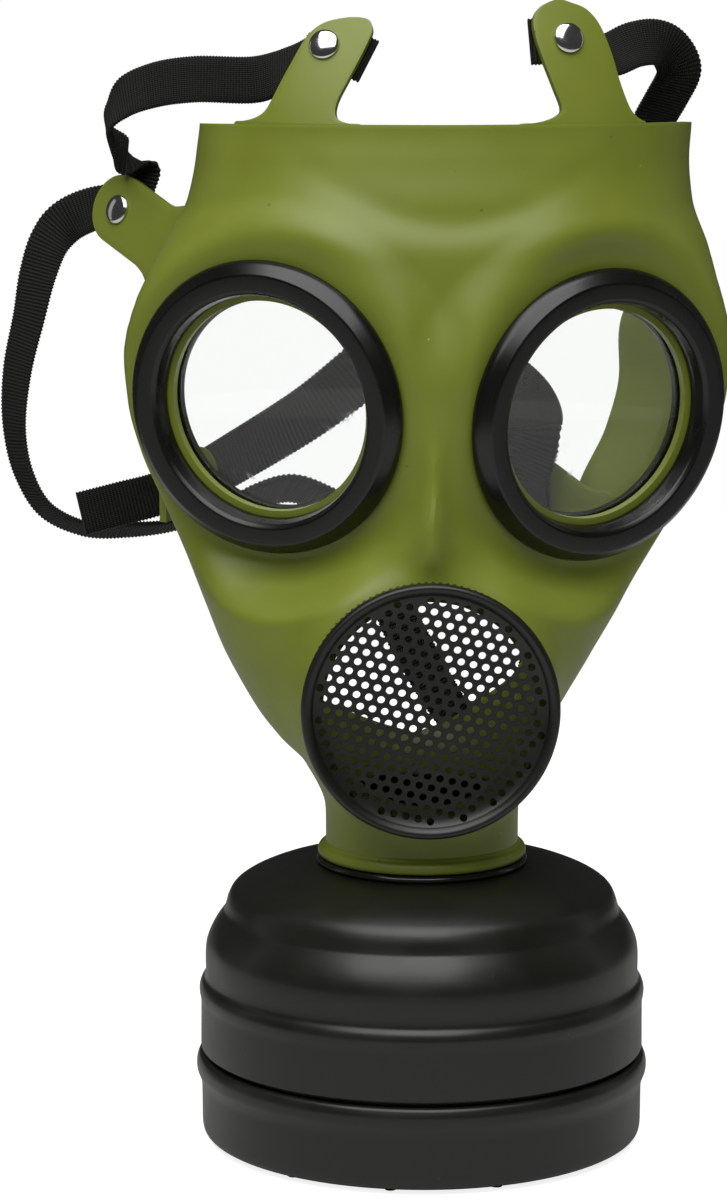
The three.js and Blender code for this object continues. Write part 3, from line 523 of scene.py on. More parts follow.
def new_group(name, kind, inputs, outputs):
    """A node group with named sockets, and its input and output nodes."""
    tree = bpy.data.node_groups.new(name, kind)
    for label, socket, default in inputs:
        made = tree.interface.new_socket(label, in_out="INPUT", socket_type=socket)
        if default is not None:
            made.default_value = default
    for label, socket in outputs:
        tree.interface.new_socket(label, in_out="OUTPUT", socket_type=socket)
    return tree, tree.nodes.new("NodeGroupInput").outputs, tree.nodes.new("NodeGroupOutput").inputs


def place_in_millimetres(tree, stretch=(1.0, 1.0, 1.0), turn=(0.0, 0.0, 0.0)):
    """Object coordinates in millimetres, turned and then stretched."""
    where = tree.nodes.new("ShaderNodeTexCoord").outputs["Object"]
    scale = tuple(MM / s for s in stretch)
    options = {"vector_type": "TEXTURE"}
    return add_node(tree, "ShaderNodeMapping", options, Vector=where, Rotation=turn, Scale=scale).outputs[0]


def grain_group():
    """Fine moulded grain with slow changes of tone."""
    tree, given, out = new_group(
        "mould_grain",
        "ShaderNodeTree",
        [("Grain Size", "NodeSocketFloat", 0.5), ("Tone Size", "NodeSocketFloat", 30.0)],
        [("Height", "NodeSocketFloat"), ("Tone", "NodeSocketFloat")],
    )
    where = place_in_millimetres(tree)
    fine_scale = calc(tree, "DIVIDE", 1.0, given["Grain Size"])
    slow_scale = calc(tree, "DIVIDE", 1.0, given["Tone Size"])
    fine = add_node(tree, "ShaderNodeTexNoise", Vector=where, Scale=fine_scale)
    slow = add_node(tree, "ShaderNodeTexNoise", Vector=where, Scale=slow_scale)
    fine.inputs["Detail"].default_value = 3.0
    slow.inputs["Detail"].default_value = 3.0
    tree.links.new(fine.outputs[0], out["Height"])
    tree.links.new(slow.outputs[0], out["Tone"])
    return tree


def specks_group():
    """Small scattered specks, of which a share shows."""
    tree, given, out = new_group(
        "specks",
        "ShaderNodeTree",
        [
            ("Spacing", "NodeSocketFloat", 6.0),
            ("Size", "NodeSocketFloat", 0.3),
            ("Share", "NodeSocketFloat", 0.5),
        ],
        [("Mask", "NodeSocketFloat")],
    )
    where = place_in_millimetres(tree)
    per_mm = calc(tree, "DIVIDE", 1.0, given["Spacing"])
    cells = add_node(tree, "ShaderNodeTexVoronoi", Vector=where, Scale=per_mm)
    away = calc(tree, "MULTIPLY", cells.outputs["Distance"], given["Spacing"])
    near = calc(tree, "SUBTRACT", 1.0, calc(tree, "DIVIDE", away, given["Size"]))
    shown = calc(tree, "LESS_THAN", separate_first(tree, cells.outputs["Color"]), given["Share"])
    mask = calc(tree, "MULTIPLY", remap(tree, near, 0.0, 0.4), shown)
    tree.links.new(mask, out["Mask"])
    return tree


def separate_first(tree, colour):
    """The red part of a colour."""
    return add_node(tree, "ShaderNodeSeparateColor", Color=colour).outputs[0]


def scratches_group():
    """Fine straight scratches in two directions, in patches."""
    tree, given, out = new_group(
        "scratches",
        "ShaderNodeTree",
        [("Spacing", "NodeSocketFloat", 2.0), ("Amount", "NodeSocketFloat", 0.5)],
        [("Mask", "NodeSocketFloat")],
    )
    scale = calc(tree, "DIVIDE", 1.0, given["Spacing"])
    masks = []
    for turn in ((0.1, 0.55, 0.05), (-0.1, -0.95, 0.1)):
        where = place_in_millimetres(tree, (0.035, 1.0, 1.0), turn)
        lines = add_node(tree, "ShaderNodeTexNoise", Vector=where, Scale=scale, Detail=1.0, Roughness=0.5)
        line = calc(tree, "ABSOLUTE", calc(tree, "SUBTRACT", lines.outputs[0], 0.64))
        masks.append(calc(tree, "SUBTRACT", 1.0, remap(tree, line, 0.0, 0.01)))
    both = calc(tree, "MAXIMUM", *masks)
    area = add_node(tree, "ShaderNodeTexNoise", Vector=place_in_millimetres(tree), Scale=0.09)
    patches = remap(tree, area.outputs[0], 0.46, 0.6)
    mask = calc(tree, "MULTIPLY", calc(tree, "MULTIPLY", both, patches), given["Amount"])
    tree.links.new(mask, out["Mask"])
    return tree


def weave_and_painted_shade_group():
    """Warp threads along a strap between its ribs, from the strap's UV map in centimetres. Its Tone is
    painted shade and highlight.
    """
    tree, given, out = new_group(
        "webbing_weave_and_painted_shade",
        "ShaderNodeTree",
        [("Rib Pitch", "NodeSocketFloat", 1.0), ("Warp Pitch", "NodeSocketFloat", 0.55)],
        [("Height", "NodeSocketFloat"), ("Tone", "NodeSocketFloat")],
    )
    place = add_node(tree, "ShaderNodeUVMap", {"uv_map": "strap"}).outputs[0]
    parts = add_node(tree, "ShaderNodeSeparateXYZ", Vector=place)
    along = calc(tree, "DIVIDE", calc(tree, "MULTIPLY", parts.outputs[0], 10.0), given["Rib Pitch"])
    across = calc(tree, "DIVIDE", calc(tree, "MULTIPLY", parts.outputs[1], 10.0), given["Warp Pitch"])
    rib = calc(tree, "COSINE", calc(tree, "MULTIPLY", along, TURN))
    warp = calc(tree, "COSINE", calc(tree, "MULTIPLY", across, TURN))
    height = calc(tree, "ADD", calc(tree, "MULTIPLY", rib, 0.35), calc(tree, "MULTIPLY", warp, 0.65))
    # Painted shade and highlight: the tone is darkest in the hollows between ribs and threads and palest on
    # their crowns.
    tone = remap(tree, calc(tree, "ADD", rib, warp), -1.2, 1.6)
    tree.links.new(height, out["Height"])
    tree.links.new(tone, out["Tone"])
    return tree


def shared(name, make):
    """A node group, made the first time it is asked for."""
    return bpy.data.node_groups.get(name) or make()


def use_group(tree, name, make, **values):
    """A placed copy of a shared node group with its own values."""
    node = tree.nodes.new("ShaderNodeGroup")
    node.node_tree = shared(name, make)
    for key, value in values.items():
        feed(tree, value, node.inputs[key.replace("_", " ")])
    return node.outputs


def new_material(name, **values):
    """A material with a Principled shader, its plain values set by name."""
    material = bpy.data.materials.new(name)
    material.use_nodes = True
    tree = material.node_tree
    shader = tree.nodes["Principled BSDF"]
    for key, value in values.items():
        shader.inputs[key.replace("_", " ")].default_value = value
    return material, tree, shader


def bump(tree, shader, height, strength, distance):
    """Feeds a height to the shader's normal, with its distance in millimetres."""
    node = add_node(tree, "ShaderNodeBump", Height=height)
    node.inputs["Strength"].default_value = strength
    node.inputs["Distance"].default_value = distance * MM
    tree.links.new(node.outputs[0], shader.inputs["Normal"])


def vinyl_material(face):
    """Moulded olive vinyl: satin, a little mottled, with dark specks and pale dust."""
    material, tree, shader = new_material(
        "olive_vinyl",
        IOR=1.5,
        Sheen_Weight=face.sheen,
        Sheen_Roughness=0.35,
        Sheen_Tint=(0.85, 0.9, 0.6, 1.0),
    )
    grain = use_group(tree, "mould_grain", grain_group, Grain_Size=0.9, Tone_Size=28.0)
    dark = use_group(tree, "specks", specks_group, Spacing=7.0, Size=0.55, Share=0.22)
    pale = use_group(tree, "specks", specks_group, Spacing=9.5, Size=0.35, Share=0.15)
    tone = remap(tree, grain["Tone"], 0.3, 0.7)
    colour = mix_colour(tree, tone, rgba(face.colour, 0.93), rgba(face.colour, 1.07))
    colour = mix_colour(tree, calc(tree, "MULTIPLY", dark["Mask"], 0.55), colour, rgba(face.colour, 0.25))
    colour = mix_colour(tree, calc(tree, "MULTIPLY", pale["Mask"], 0.5), colour, (0.6, 0.62, 0.5, 1.0))
    tree.links.new(colour, shader.inputs["Base Color"])
    rough = remap(tree, grain["Tone"], 0.3, 0.7, face.roughness - 0.04, face.roughness + 0.04)
    tree.links.new(rough, shader.inputs["Roughness"])
    bump(tree, shader, grain["Height"], 0.25, 0.05)
    return material


def plastic_material(name, colour, roughness, scratch, grain_size=0.6, grain_depth=0.02):
    """Moulded black plastic with faint scratches and grain."""
    material, tree, shader = new_material(name, IOR=1.5)
    grain = use_group(tree, "mould_grain", grain_group, Grain_Size=grain_size, Tone_Size=14.0)
    lines = use_group(tree, "scratches", scratches_group, Spacing=2.4, Amount=scratch)
    dust = use_group(tree, "specks", specks_group, Spacing=5.0, Size=0.22, Share=0.2)
    tone = mix_colour(tree, remap(tree, grain["Tone"], 0.3, 0.7), rgba(colour, 0.9), rgba(colour, 1.12))
    tone = mix_colour(tree, calc(tree, "MULTIPLY", lines["Mask"], 0.5), tone, rgba(colour, 2.6))
    tone = mix_colour(tree, calc(tree, "MULTIPLY", dust["Mask"], 0.35), tone, (0.25, 0.25, 0.23, 1.0))
    tree.links.new(tone, shader.inputs["Base Color"])
    rough = remap(tree, grain["Tone"], 0.3, 0.7, roughness - 0.04, roughness + 0.05)
    rough = calc(tree, "ADD", rough, calc(tree, "MULTIPLY", lines["Mask"], 0.15))
    tree.links.new(rough, shader.inputs["Roughness"])
    bump(tree, shader, grain["Height"], 0.3, grain_depth)
    return material


def webbing_material(straps):
    """Black woven webbing, with painted shade between its ribs and threads and a painted highlight on the
    rib crowns.
    """
    material, tree, shader = new_material(
        "black_webbing",
        IOR=1.45,
        Sheen_Weight=0.02,
        Sheen_Roughness=0.5,
        Specular_IOR_Level=0.3,
        Sheen_Tint=(0.8, 0.8, 0.75, 1.0),
    )
    weave = use_group(tree, "webbing_weave_and_painted_shade", weave_and_painted_shade_group, Rib_Pitch=straps.rib_pitch / MM, Warp_Pitch=0.55)
    grain = use_group(tree, "mould_grain", grain_group, Grain_Size=0.18, Tone_Size=9.0)
    # Painted shade and highlight: the colour runs from dark in the weave's hollows to pale on the rib
    # crowns.
    tone = calc(tree, "MULTIPLY", weave["Tone"], remap(tree, grain["Height"], 0.2, 0.8, 0.6, 1.2))
    colour = mix_colour(tree, tone, rgba(straps.colour, 0.35), rgba(straps.colour, 2.8))
    tree.links.new(colour, shader.inputs["Base Color"])
    shader.inputs["Roughness"].default_value = 0.72
    bump(tree, shader, weave["Height"], 0.7, 0.12)
    return material


def lens_material():
    """Thin clear plastic with a few scratches and dust."""
    material, tree, shader = new_material(
        "clear_plastic", Base_Color=(0.95, 0.97, 0.95, 1.0), IOR=1.36, Transmission_Weight=1.0
    )
    lines = use_group(tree, "scratches", scratches_group, Spacing=5.0, Amount=0.6)
    dust = use_group(tree, "specks", specks_group, Spacing=4.0, Size=0.25, Share=0.25)
    marks = calc(tree, "MAXIMUM", lines["Mask"], calc(tree, "MULTIPLY", dust["Mask"], 0.6))
    tree.links.new(remap(tree, marks, 0.0, 1.0, 0.02, 0.25), shader.inputs["Roughness"])
    return material


def chrome_material():
    """Polished rivet metal, a little marked."""
    material, tree, shader = new_material("polished_metal", Base_Color=(0.82, 0.81, 0.8, 1.0), Metallic=1.0)
    grain = use_group(tree, "mould_grain", grain_group, Grain_Size=0.5, Tone_Size=4.0)
    tree.links.new(remap(tree, grain["Tone"], 0.3, 0.7, 0.08, 0.2), shader.inputs["Roughness"])
    return material


def floor_material(stage):
    """Matt white paper, a little brighter to the eye than the light that it passes on."""
    material, tree, shader = new_material("pale_paper", Roughness=0.9, Emission_Color=(1.0, 1.0, 1.0, 1.0))
    grain = use_group(tree, "mould_grain", grain_group, Grain_Size=2.0, Tone_Size=300.0)
    colour = mix_colour(tree, grain["Tone"], rgba(stage.floor_colour, 0.99), rgba(stage.floor_colour, 1.0))
    tree.links.new(colour, shader.inputs["Base Color"])
    lift = calc(tree, "MULTIPLY", directly_seen(tree), stage.floor_lift)
    tree.links.new(lift, shader.inputs["Emission Strength"])
    return material


def directly_seen(tree):
    """1 for what is seen directly or through clear plastic."""
    path = tree.nodes.new("ShaderNodeLightPath").outputs
    return calc(tree, "MAXIMUM", path["Is Camera Ray"], path["Is Transmission Ray"])


# Geometry node trees


def tree_modifier(piece, tree, **values):
    """Puts a geometry tree on a piece, sets its named inputs and turns the result into a plain mesh."""
    modifier = piece.modifiers.new(tree.name, "NODES")
    modifier.node_group = tree
    sockets = {s.name: s.identifier for s in tree.interface.items_tree if s.in_out == "INPUT"}
    for key, value in values.items():
        modifier[sockets[key.replace("_", " ")]] = value
    return settle(piece)


def end_tree(tree, geometry, material, out):
    """Realizes what the tree made and gives it its material."""
    real = add_node(tree, "GeometryNodeRealizeInstances", Geometry=geometry)
    dressed = add_node(tree, "GeometryNodeSetMaterial", Geometry=real.outputs[0], Material=material)
    tree.links.new(dressed.outputs[0], out["Geometry"])


def pierced_plate_tree():
    """Cuts a lattice of round holes, each row half a step on from the last, out of a plate."""
    tree, given, out = new_group(
        "pierced_plate",
        "GeometryNodeTree",
        [
            ("Geometry", "NodeSocketGeometry", None),
            ("Pitch", "NodeSocketFloat", 3.5),
            ("Hole Radius", "NodeSocketFloat", 1.0),
            ("Reach", "NodeSocketFloat", 29.0),
            ("Turn", "NodeSocketFloat", 0.0),
            ("Material", "NodeSocketMaterial", None),
        ],
        [("Geometry", "NodeSocketGeometry")],
    )
    rows = 25
    size = calc(tree, "MULTIPLY", given["Pitch"], rows - 1.0)
    tall = calc(tree, "MULTIPLY", size, math.sqrt(3) / 2)
    grid = add_node(tree, "GeometryNodeMeshGrid", Size_X=size, Size_Y=tall, Vertices_X=rows, Vertices_Y=rows)
    index = tree.nodes.new("GeometryNodeInputIndex").outputs[0]
    row = calc(tree, "MODULO", index, float(rows))
    odd = calc(tree, "MODULO", row, 2.0)
    half_pitch = calc(tree, "DIVIDE", given["Pitch"], 2.0)
    shift = add_node(tree, "ShaderNodeCombineXYZ", X=calc(tree, "MULTIPLY", odd, half_pitch))
    moved = add_node(tree, "GeometryNodeSetPosition", Geometry=grid.outputs["Mesh"], Offset=shift.outputs[0])
    turn = add_node(tree, "ShaderNodeCombineXYZ", Z=given["Turn"])
    turned = add_node(tree, "GeometryNodeTransform", Geometry=moved.outputs[0], Rotation=turn.outputs[0])
    place = tree.nodes.new("GeometryNodeInputPosition").outputs[0]
    away = add_node(tree, "ShaderNodeVectorMath", {"operation": "LENGTH"}, Vector=place).outputs["Value"]
    near = add_node(tree, "FunctionNodeCompare", A=away, B=given["Reach"])
    near.operation = "LESS_THAN"
    pins = add_node(tree, "GeometryNodeMeshCylinder", Vertices=14, Radius=given["Hole Radius"], Depth=20.0)
    spread = add_node(
        tree, "GeometryNodeInstanceOnPoints", Points=turned.outputs[0], Instance=pins.outputs[0]
    )
    tree.links.new(near.outputs[0], spread.inputs["Selection"])
    real_pins = add_node(tree, "GeometryNodeRealizeInstances", Geometry=spread.outputs[0])
    cut = tree.nodes.new("GeometryNodeMeshBoolean")
    cut.operation = "DIFFERENCE"
    cut.solver = "MANIFOLD"
    tree.links.new(given["Geometry"], cut.inputs["Mesh 1"])
    tree.links.new(real_pins.outputs[0], cut.inputs["Mesh 2"])
    end_tree(tree, cut.outputs[0], given["Material"], out)
    return tree


def knurl_tree():
    """Presses fine teeth into the outside of a ring, round its axis, up to a height."""
    tree, given, out = new_group(
        "knurled_ring",
        "GeometryNodeTree",
        [
            ("Geometry", "NodeSocketGeometry", None),
            ("Teeth", "NodeSocketFloat", 110.0),
            ("Tooth Depth", "NodeSocketFloat", 0.5),
            ("Inner Radius", "NodeSocketFloat", 31.5),
            ("Low", "NodeSocketFloat", 1.0),
            ("High", "NodeSocketFloat", 6.0),
            ("Material", "NodeSocketMaterial", None),
        ],
        [("Geometry", "NodeSocketGeometry")],
    )
    place = tree.nodes.new("GeometryNodeInputPosition").outputs[0]
    part = add_node(tree, "ShaderNodeSeparateXYZ", Vector=place).outputs
    flat = add_node(tree, "ShaderNodeCombineXYZ", X=part[0], Y=part[1]).outputs[0]
    away = add_node(tree, "ShaderNodeVectorMath", {"operation": "LENGTH"}, Vector=flat).outputs["Value"]
    out_way = add_node(tree, "ShaderNodeVectorMath", {"operation": "NORMALIZE"}, Vector=flat).outputs[0]
    angle = calc(tree, "ARCTAN2", part[1], part[0])
    wave = calc(tree, "COSINE", calc(tree, "MULTIPLY", angle, given["Teeth"]))
    outside = remap(tree, away, given["Inner Radius"], calc(tree, "ADD", given["Inner Radius"], 0.5))
    above = calc(tree, "ADD", given["High"], 0.4)
    band = calc(
        tree,
        "MULTIPLY",
        remap(tree, part[2], given["Low"], calc(tree, "ADD", given["Low"], 0.4)),
        calc(tree, "SUBTRACT", 1.0, remap(tree, part[2], given["High"], above)),
    )
    depth = calc(tree, "MULTIPLY", calc(tree, "MULTIPLY", wave, given["Tooth Depth"]), 0.5)
    push = calc(tree, "MULTIPLY", depth, calc(tree, "MULTIPLY", outside, band))
    scaled = {"operation": "SCALE"}
    offset = add_node(tree, "ShaderNodeVectorMath", scaled, Vector=out_way, Scale=push).outputs[0]
    moved = add_node(tree, "GeometryNodeSetPosition", Geometry=given["Geometry"], Offset=offset)
    end_tree(tree, moved.outputs[0], given["Material"], out)
    return tree


def ribs_tree():
    """Raises ribs across a strap, at a pitch along its length."""
    tree, given, out = new_group(
        "webbing_ribs",
        "GeometryNodeTree",
        [
            ("Geometry", "NodeSocketGeometry", None),
            ("Rib Pitch", "NodeSocketFloat", 1.0),
            ("Rib Height", "NodeSocketFloat", 0.1),
            ("Material", "NodeSocketMaterial", None),
        ],
        [("Geometry", "NodeSocketGeometry")],
    )
    along = add_node(tree, "GeometryNodeInputNamedAttribute", Name="along").outputs[0]
    turns = calc(tree, "MULTIPLY", calc(tree, "DIVIDE", along, given["Rib Pitch"]), TURN)
    height = calc(tree, "MULTIPLY", calc(tree, "COSINE", turns), given["Rib Height"])
    normal = tree.nodes.new("GeometryNodeInputNormal").outputs[0]
    scaled = {"operation": "SCALE"}
    offset = add_node(tree, "ShaderNodeVectorMath", scaled, Vector=normal, Scale=height).outputs[0]
    moved = add_node(tree, "GeometryNodeSetPosition", Geometry=given["Geometry"], Offset=offset)
    end_tree(tree, moved.outputs[0], given["Material"], out)
    return tree


def ring_of_feet_tree():
    """Sets short round feet on a circle under a cap and joins them to it."""
    tree, given, out = new_group(
        "ring_of_feet",
        "GeometryNodeTree",
        [
            ("Geometry", "NodeSocketGeometry", None),
            ("Feet", "NodeSocketInt", 12),
            ("Circle Radius", "NodeSocketFloat", 54.5),
            ("Foot Radius", "NodeSocketFloat", 1.5),
            ("Turn", "NodeSocketFloat", 0.0),
            ("Material", "NodeSocketMaterial", None),
        ],
        [("Geometry", "NodeSocketGeometry")],
    )
    circle = add_node(tree, "GeometryNodeMeshCircle", Vertices=given["Feet"], Radius=given["Circle Radius"])
    half_step = calc(tree, "DIVIDE", math.pi, given["Feet"])
    turn = add_node(tree, "ShaderNodeCombineXYZ", Z=calc(tree, "ADD", half_step, given["Turn"]))
    turned = add_node(tree, "GeometryNodeTransform", Geometry=circle.outputs[0], Rotation=turn.outputs[0])
    foot = add_node(tree, "GeometryNodeMeshCylinder", Vertices=16, Radius=given["Foot Radius"], Depth=1.2)
    lifted = add_node(tree, "GeometryNodeTransform", Geometry=foot.outputs[0], Translation=(0.0, 0.0, 0.6))
    spread = add_node(
        tree, "GeometryNodeInstanceOnPoints", Points=turned.outputs[0], Instance=lifted.outputs[0]
    )
    feet = add_node(tree, "GeometryNodeRealizeInstances", Geometry=spread.outputs[0])
    join = tree.nodes.new("GeometryNodeMeshBoolean")
    join.operation = "UNION"
    join.solver = "MANIFOLD"
    tree.links.new(given["Geometry"], join.inputs["Mesh 2"])
    tree.links.new(feet.outputs[0], join.inputs["Mesh 2"])
    end_tree(tree, join.outputs[0], given["Material"], out)
    return tree


# The moulded face


def shell_grids(wall):
    """Outer and inner skin points of the face as grids of rows and columns."""
    ups = np.linspace(0, 1, SHELL_ROWS)
    spread = np.linspace(-1, 1, SHELL_COLUMNS)
    edges = np.where(ups <= 0.130, math.pi, edge_angle(ups))
    angle = edges[:, None] * spread[None, :]
    level = ups[:, None] - TOP_DIP / FACE_HEIGHT * ups[:, None] ** 12 * np.abs(spread[None, :]) ** 4
    outer = skin(level, angle)
    inner = outer - skin_normal(level, angle) * wall
    inner[0, :, 2] = FACE_BASE
    return outer, inner, int((ups <= 0.130).sum())


def shell_solids(wall):
    """The face's wall as a closed sheet, and the closed hollow behind it."""
    outer, inner, closed = shell_grids(wall)
    rows, columns = outer.shape[:2]
    points = np.concatenate([outer.reshape(-1, 3), inner.reshape(-1, 3)])
    front = np.arange(rows * columns).reshape(rows, columns)
    front[:closed, -1] = front[:closed, 0]
    rear = front + rows * columns
    faces = list(grid_faces(front)) + [f[::-1] for f in grid_faces(rear)]
    last = rows - 1
    left = front[closed - 1 :, 0]
    right = front[closed - 1 :, -1]
    shift = rows * columns
    for a, b in zip(left[:-1], left[1:]):
        faces.append((a, b, b + shift, a + shift))
    for a, b in zip(right[:-1], right[1:]):
        faces.append((b, a, a + shift, b + shift))
    for a, b in zip(front[last, :-1], front[last, 1:]):
        faces.append((a, b, b + shift, a + shift))
    for a, b in zip(front[0, :-1], front[0, 1:]):
        faces.append((b, a, a + shift, b + shift))
    hollow_points = np.vstack([points, on_face(0, 2.27, 0.56), (0, 0, FACE_BASE)])
    apex = len(points)
    hollow = [tuple(f) for f in grid_faces(rear)]
    hollow += [(a, b, apex) for a, b in zip(rear[last, :-1], rear[last, 1:])]
    hollow += [(b, a, apex + 1) for a, b in zip(rear[0, :-1], rear[0, 1:])]
    hollow += [(a, b, apex) for a, b in zip(left[:-1] + shift, left[1:] + shift)]
    hollow += [(b, a, apex) for a, b in zip(right[:-1] + shift, right[1:] + shift)]
    return tidy_shape(points, faces), tidy_shape(hollow_points, hollow)


def tidy_shape(points, faces):
    """Drops repeated corners, flat faces and unused points."""
    kept = []
    for face in faces:
        corners = list(dict.fromkeys(int(i) for i in face))
        if len(corners) > 2:
            kept.append(corners)
    used = sorted({i for face in kept for i in face})
    number = {old: new for new, old in enumerate(used)}
    return points[used], [[number[i] for i in face] for face in kept]


# The two upright tabs carry the forehead's own curve upwards. rise: share of reach. from, to: their side
# edges as shares of HALF_WIDTH.
TOP_TABS = {
    "top_left": {
        "reach": 27.8,
        "lean": 0.30,
        "curl": 0.11,
        "rivet": (-0.318, 0.741),
        "sides": (
            (-0.12, -0.615, -0.190),
            (0.00, -0.605, -0.203),
            (0.012, -0.580, -0.243),
            (0.036, -0.550, -0.270),
            (0.070, -0.527, -0.284),
            (0.12, -0.508, -0.288),
            (0.22, -0.488, -0.280),
            (0.40, -0.456, -0.248),
            (0.60, -0.418, -0.210),
            (0.78, -0.382, -0.178),
            (0.88, -0.352, -0.164),
            (0.95, -0.314, -0.167),
            (0.985, -0.270, -0.180),
            (1.00, -0.235, -0.205),
        ),
    },
    "top_right": {
        "reach": 32.4,
        "lean": 0.14,
        "curl": 0.13,
        "rivet": (0.465, 0.691),
        "sides": (
            (-0.12, 0.285, 0.732),
            (0.00, 0.297, 0.724),
            (0.012, 0.345, 0.713),
            (0.036, 0.392, 0.698),
            (0.070, 0.426, 0.684),
            (0.11, 0.441, 0.672),
            (0.30, 0.416, 0.641),
            (0.56, 0.376, 0.610),
            (0.75, 0.354, 0.580),
            (0.85, 0.352, 0.556),
            (0.93, 0.368, 0.522),
            (0.98, 0.402, 0.472),
            (1.00, 0.425, 0.450),
        ),
    },
}
# The flat tabs at the rear edge of the flanks. side: -1 on the left. up: share of FACE_HEIGHT. set: how far
# the root is set in, across and back. rivet: share of the reach. cap: the way the rivet's cap faces. root:
# how much wider than its tongue the tab starts.
SIDE_TABS = {
    "temple_left": {
        "side": -1,
        "up": 0.815,
        "set": (0.9, 2.6),
        "out": (-0.58, 0.72, 0.38),
        "wide": (0.34, 0.0, 0.94),
        "rivet": 0.692,
        "cap": (-0.7, -0.7, 0),
        "root": 1.28,
    },
    "temple_right": {
        "side": 1,
        "up": 0.804,
        "set": (-1.8, 2.3),
        "out": (-0.18, 0.92, 0.30),
        "wide": (0.0, -0.3, 0.95),
        "rivet": 0.708,
        "cap": (0.9, -0.2, 0),
        "root": 1.28,
    },
    "cheek_left": {
        "side": -1,
        "up": 0.472,
        "set": (-3.1, 0.6),
        "out": (0.55, 0.83, 0.02),
        "wide": (0, 0, 1),
        "rivet": 0.708,
        "cap": (0.8, -0.5, 0),
        "root": 1.1,
    },
    "cheek_right": {
        "side": 1,
        "up": 0.426,
        "set": (2.6, -0.8),
        "out": (-0.66, 0.50, 0.56),
        "wide": (0, 0, 1),
        "rivet": 0.615,
        "cap": (0.4, 0.9, 0),
        "root": 1.28,
    },
}
SIDE_TAB_REACH = 32.5
SIDE_TAB_HALF = 9.8
SIDE_TAB_BURY = 3.0


def top_edge(x):
    """Depth of the forehead's top edge at x."""
    half, shift, mid, front, _, _, _ = section(1.0)
    reach = (mid - front) * DEPTH
    share = np.clip(np.abs(x - shift * HALF_WIDTH) / (half * HALF_WIDTH), 0, 1)
    return mid * DEPTH - reach * (1 - share**ROUNDNESS) ** (1 / ROUNDNESS)


def top_tab_point(tab, x, rise):
    """A point on the front of an upright tab."""
    up = np.clip(rise, 0, None)
    back = top_edge(x) + tab["lean"] * up + tab["curl"] * up * up / tab["reach"]
    return np.stack([x + 0 * up, back, FACE_BASE + FACE_HEIGHT + rise + 0 * x], axis=-1)


def top_tab_normal(tab, x, rise):
    """The way the front of an upright tab faces."""
    across = top_tab_point(tab, x + 0.2, rise) - top_tab_point(tab, x - 0.2, rise)
    up = top_tab_point(tab, x, rise + 0.2) - top_tab_point(tab, x, rise - 0.2)
    normal = np.cross(across, up)
    return normal / np.linalg.norm(normal, axis=-1, keepdims=True)


def top_tab_slab(tab, wall):
    """An upright tab as a closed slab that starts inside the forehead's wall."""
    sides = np.array(tab["sides"]) * (tab["reach"], HALF_WIDTH, HALF_WIDTH)
    left = flowing_line(sides[:, [1, 0]], 4)
    right = flowing_line(sides[:, [2, 0]], 4)
    share = np.linspace(0, 1, 13)[None, :, None]
    flat = left[:, None] * (1 - share) + right[:, None] * share
    x = flat[..., 0]
    rise = flat[..., 1]
    normal = top_tab_normal(tab, x, np.maximum(rise, 0.3))
    rows = top_tab_point(tab, x, rise) - normal * 0.05
    return slab(rows, normal, wall - 0.1)


def side_frame(tab):
    """Root, outward way, width way and face way of a flank tab."""
    out = Vector(tab["out"]).normalized()
    wide = Vector(tab["wide"])
    wide = (wide - wide.dot(out) * out).normalized()
    up = np.array([tab["up"]])
    root = skin(up, tab["side"] * math.pi * section(up)[5])[0] + np.array([*tab["set"], 0])
    return root, np.array(out), np.array(wide), np.array(wide.cross(out))


def side_tab_slab(tab, wall):
    """A flank tab as a closed slab with a round end."""
    root, out, wide, face = side_frame(tab)
    flare = ((-SIDE_TAB_BURY, 1.0), (0, 0.89), (1.4, 0.57), (2.9, 0.29), (4.8, 0.11), (6.8, 0.0), (16, 0.0))
    ends = [(along, 1 + (tab["root"] - 1) * share) for along, share in flare]
    for turn in np.linspace(0, 88, 15):
        turn = math.radians(turn)
        ends.append((SIDE_TAB_REACH - SIDE_TAB_HALF * (1 - math.sin(turn)), math.cos(turn)))
    share = np.linspace(-1, 1, 9)
    rows = [
        [root + out * along + wide * s * width * SIDE_TAB_HALF + face * wall / 2 for s in share]
        for along, width in ends
    ]
    normals = np.broadcast_to(face, (len(ends), len(share), 3))
    return slab(rows, normals, wall)


def rivet_seats(wall):
    """The centre of each rivet on its tab's middle plane, and the way its cap faces."""
    seats = {}
    for name, tab in TOP_TABS.items():
        x = np.array(tab["rivet"][0] * HALF_WIDTH)
        rise = np.array(tab["rivet"][1] * tab["reach"])
        normal = top_tab_normal(tab, x, rise)
        seats[name] = (top_tab_point(tab, x, rise) - normal * wall / 2, normal)
    for name, tab in SIDE_TABS.items():
        root, out, _, face = side_frame(tab)
        axis = face if face @ np.array(tab["cap"]) > 0 else -face
        seats[name] = (root + out * tab["rivet"] * SIDE_TAB_REACH, axis)
    return seats


COLLAR_LINE = (
    # radius, height, rounding
    (25.0, 78.6, 0),
    (28.0, 78.6, 0.6),
    (28.5, 79.9, 0.9),
    (27.9, 81.4, 0.7),
    (26.9, 81.8, 0.5),
    (26.6, 82.3, 0.4),
    (26.1, 82.9, 0),
    (25.0, 82.9, 0),
)


